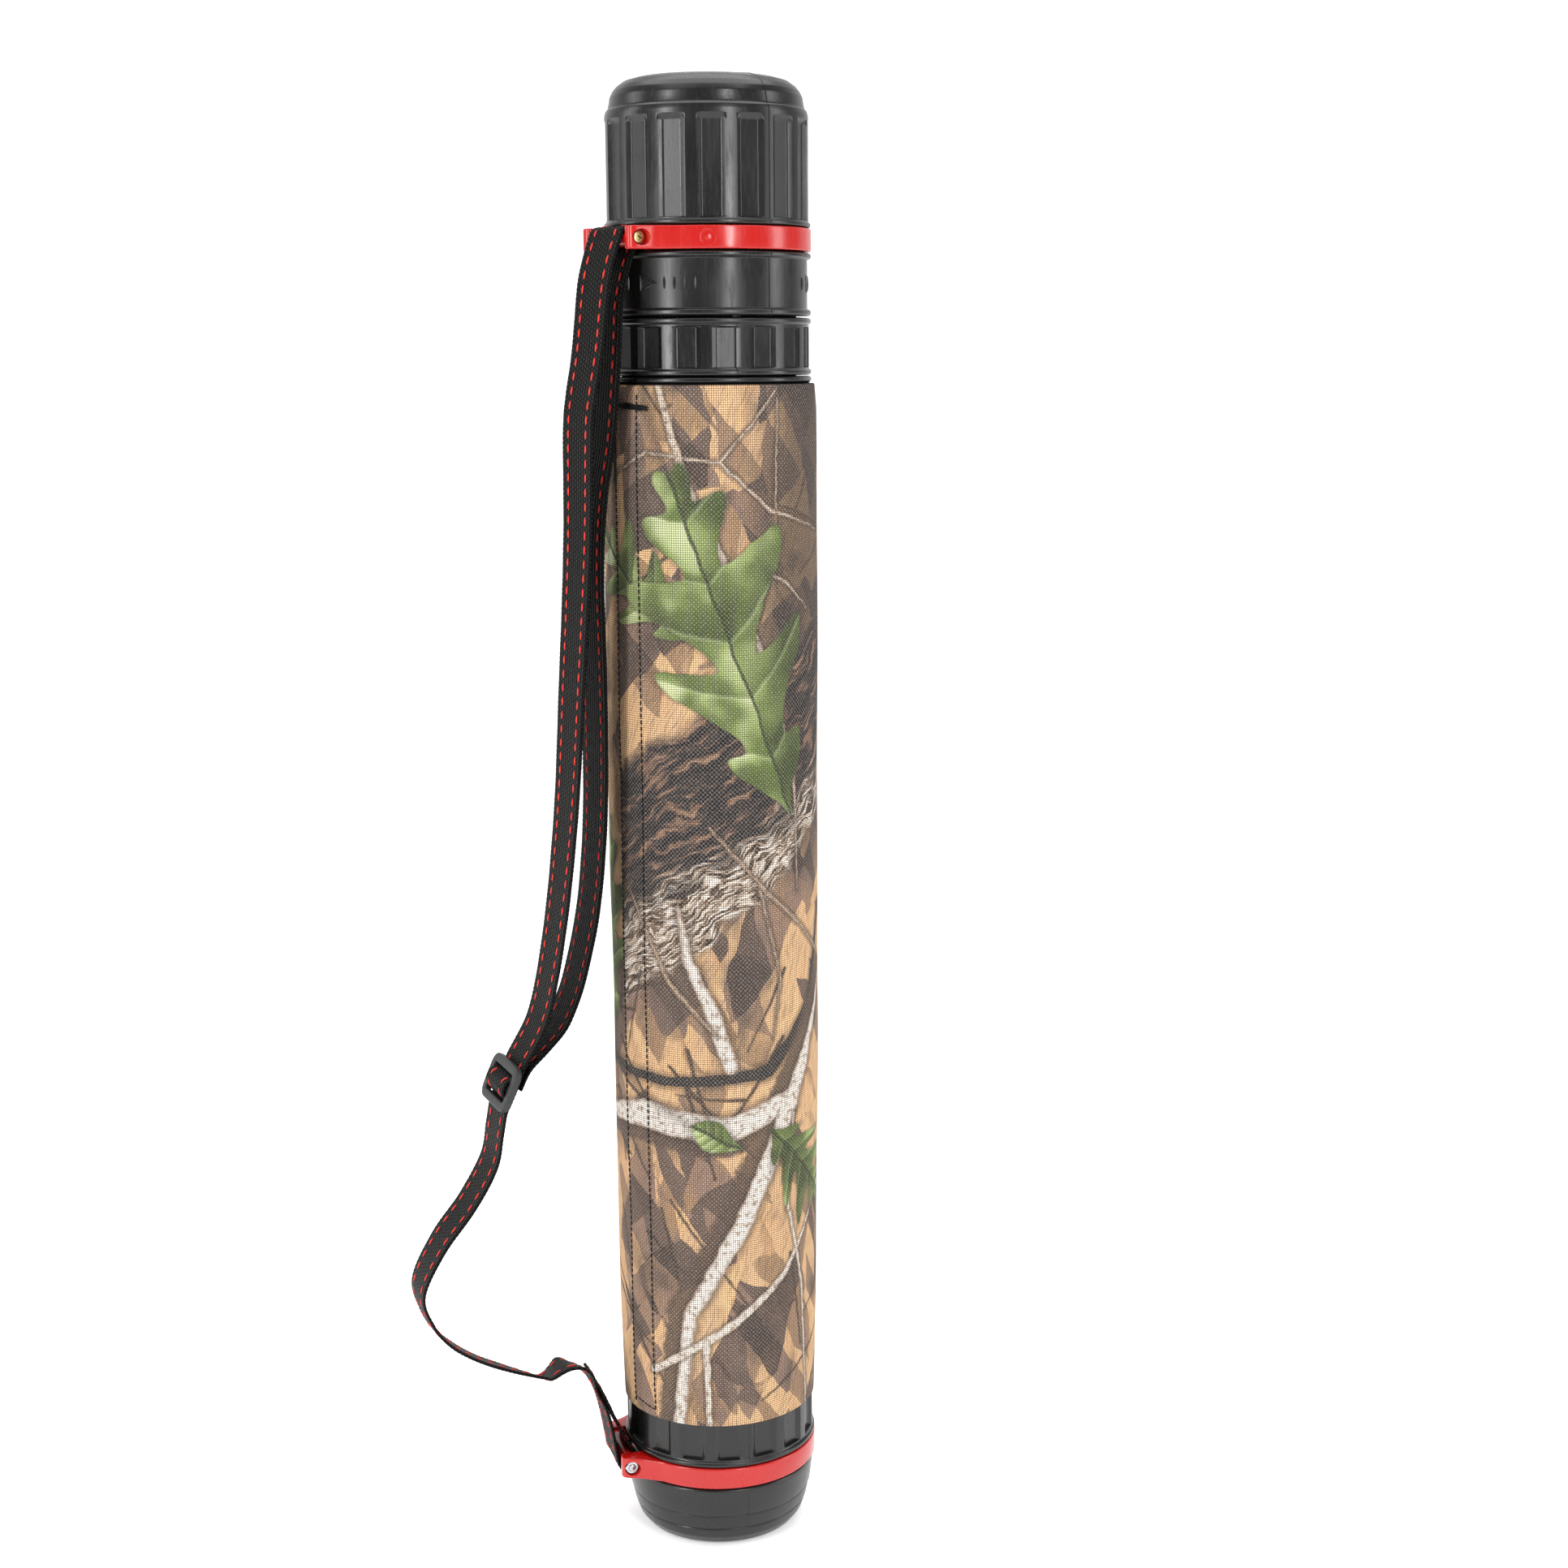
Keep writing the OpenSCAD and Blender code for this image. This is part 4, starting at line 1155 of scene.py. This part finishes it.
def build_slider():
    centre, across, up, normal = slider_frame()
    half_w, half_l, half_t = 16.5, 10, 1.6
    bar = 1.9
    corner = 3.2
    path = []
    for cx, cy, a0 in ((1, 1, 0), (-1, 1, 90), (-1, -1, 180), (1, -1, 270)):
        path += arc(cx * (half_w - bar - corner), cy * (half_l - bar - corner), corner, a0, a0 + 90, 8)
    section = rounded([(bar + 0.1, -half_t), (bar + 0.1, half_t), (-bar, half_t), (-bar, -half_t)], 0.9, 4)
    points = []
    n = len(path)
    for i, (x, y) in enumerate(path):
        tangent = Vector(path[(i + 1) % n]) - Vector(path[i - 1])
        outward = Vector((tangent.y, -tangent.x)).normalized()
        points += [centre + across * (x + outward.x * p) + up * (y + outward.y * p) + normal * q
                   for p, q in section]
    hoop = points, grid(n, len(section), closed=True)
    low, high = -half_t + 0.2, half_t - 0.1
    middle = rounded([(-1.8, low), (1.8, low), (1.8, high), (-1.8, high)], 0.9, 4)
    points = [centre + across * x + up * p + normal * q for x in (-13.9, 13.9) for p, q in middle]
    obj = piece("slider_frame", *join(hoop, (points, capped(2, len(middle)))), GREY)
    settle(obj, "slider", "slider_plastic", "strap_slider")

    top = half_t + 0.85
    route = [(-5.2, -1.2), (-3.9, 0.6), (-2, top), (0, top + 0.1), (2, top), (3.9, 0.6), (5.2, -1.2)]
    line, run = spline(route, 0.8)
    along = np.gradient(line, axis=0)
    along /= np.linalg.norm(along, axis=1)[:, None]
    path = ([centre + up * p + normal * q for p, q in line],
            [normal * dp - up * dq for dp, dq in along], [across] * len(line), run)
    wrap = webbing("slider_wrap", path)
    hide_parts("strap_slider_wrap")
    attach(wrap, "slider")
    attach(stitches("slider_wrap_stitches", path, faces_out=(1,)), "slider")


build_strap()
build_slider()


# Sleeve

SIDE = [(60.5, 43.4), (75, 43.9), (110, 44.6), (180, 45.2), (300, 45.8), (430, 46), (503, 45.7), (513.3, 45)]


def cloth_point(heading, z, lift=0.0):
    """A point on the hanging sleeve, which has slight slack. Headings run from -X towards the front."""
    r = np.interp(z, [height for height, _ in SIDE], [radius for _, radius in SIDE])
    a = radians(heading)
    ease = min(1, (z - SLEEVE_LOW) / 25, (SLEEVE_TOP - z) / 25)
    slack = 0.16 * sin(3 * a + z / 46) + 0.12 * sin(5 * a - z / 27 + 1) + 0.1 * sin(z / 15 + 2 * a)
    return polar(r - 0.25 + max(ease, 0) * slack + lift, radians(180 + heading), z)


def cloth_sheet(name, node, columns, rows):
    """A sheet from (heading, lift) columns and (height, lift) rows, with its place on the cloth as UVs."""
    points, uvs = [], []
    for z, row_lift in rows:
        for heading, lift in columns:
            points.append(cloth_point(heading, z, row_lift + lift))
            uvs.append((radians(heading - 90) * CLOTH_R, z))
    obj = piece(name, points, grid(len(rows), len(columns), around=False), CLOTH, uvs, sharp=80)
    settle(obj, "outer_tube", "sleeve_cloth", node)
    return obj


def build_sleeve():
    start = (SEAM_LOW + SEAM_HIGH) / 2
    hem = [(1.2, -0.75), (0.3, -0.7), (0, -0.35), (0.2, -0.05)]
    rows = [(SLEEVE_LOW + inset, sink) for inset, sink in hem]
    rows += [(z, 0) for z in np.linspace(SLEEVE_LOW + 1, SLEEVE_TOP - 1, 150)]
    rows += [(SLEEVE_TOP - inset, sink) for inset, sink in reversed(hem)]
    return cloth_sheet("sleeve_cloth", "fabric_sleeve", [(start + a, 0) for a in range(361)], rows)


def build_seam_strip():
    edge = [-0.15, 0.34, 0.46]
    lifts = edge + [0.5] * 19 + edge[::-1]
    columns = list(zip(np.linspace(SEAM_LOW, SEAM_HIGH, 25), lifts))
    rows = [(z, 0) for z in np.linspace(SLEEVE_LOW + 0.8, SLEEVE_TOP - 0.8, 151)]
    return cloth_sheet("sleeve_seam", "seam_strip", columns, rows)


def build_seam_thread():
    """Two rows of stitches, one across the lower end, and loose tails at the top."""
    parts = []

    def sew(radius, points):
        parts.append(tube(points, radius, 6))

    low, high = SEAM_LOW + 1.6, SEAM_HIGH - 1.6
    for heading in (low, high):
        z = SLEEVE_LOW + 4
        while z < SLEEVE_TOP - 5:
            sew(0.42, [cloth_point(heading, z + 2.3 * t, 0.42 + 0.16 * sin(pi * t))
                       for t in (0, 0.3, 0.7, 1)])
            z += 2.75
    for start in np.linspace(0, 1, 7)[:-1]:
        shares = [start + 0.14 * t for t in (0, 0.5, 1)]
        sew(0.36, [cloth_point(low + (high - low) * t, SLEEVE_LOW + 6.5 - 2.5 * t, 0.6) for t in shares])
    rng = Random(4)
    for k in range(4):
        top = SLEEVE_TOP - 7 - k * 0.5
        heights = [(t, top - 1.6 * t + rng.uniform(-0.25, 0.25)) for t in np.linspace(0, 1, 14)]
        sew(0.42, [cloth_point(SEAM_LOW - 1 + t * 28, z, 0.6 + 0.15 * k) for t, z in heights])
    for k in range(3):
        shares = [(t, SEAM_LOW + 0.4 + k * 0.5 + rng.uniform(-0.4, 0.4)) for t in np.linspace(0, 1, 16)]
        sew(0.42, [cloth_point(heading, SLEEVE_TOP - 4 - t * 38, 0.65) for t, heading in shares])
    obj = piece("sleeve_seam_thread", *join(*parts), BLACK_THREAD, sharp=180)
    settle(obj, "outer_tube", "sleeve_cloth")
    return obj


sleeve = build_sleeve()
seam = [build_seam_strip(), build_seam_thread()]


# Foam pads

def foam_disc(name, node, body, low, high, radius, dish):
    rng = Random(7)
    outline = [(0, low), (radius * 0.55, low)] + dish + [(0, high)]
    points, faces = lathe(rounded(outline, 1.2, 3), range(0, 360, 6))
    points = [(x + rng.uniform(-0.12, 0.12), y + rng.uniform(-0.12, 0.12), z + rng.uniform(-0.1, 0.1))
              for x, y, z in points]
    obj = piece(name, points, faces, FOAM, sharp=60)
    settle(obj, body, "foam", node)


foam_disc("base_foam", "base_pad", "outer_tube", PAD_LOW + 0.2, PAD_TOP - 0.2, 27,
          [(27, PAD_LOW + 0.3), (30.2, PAD_LOW + 2.8), (34.2, PAD_LOW + 7.2), (35, PAD_TOP - 0.3)])
low, high = span("lid_pad")
foam_disc("lid_foam", "lid_pad", "lid", low + 0.2, high - 0.3, 36,
          [(37, low + 0.3), (36.6, 627), (35.1, 630.4), (32.6, 632.6), (27.4, 634.5)])
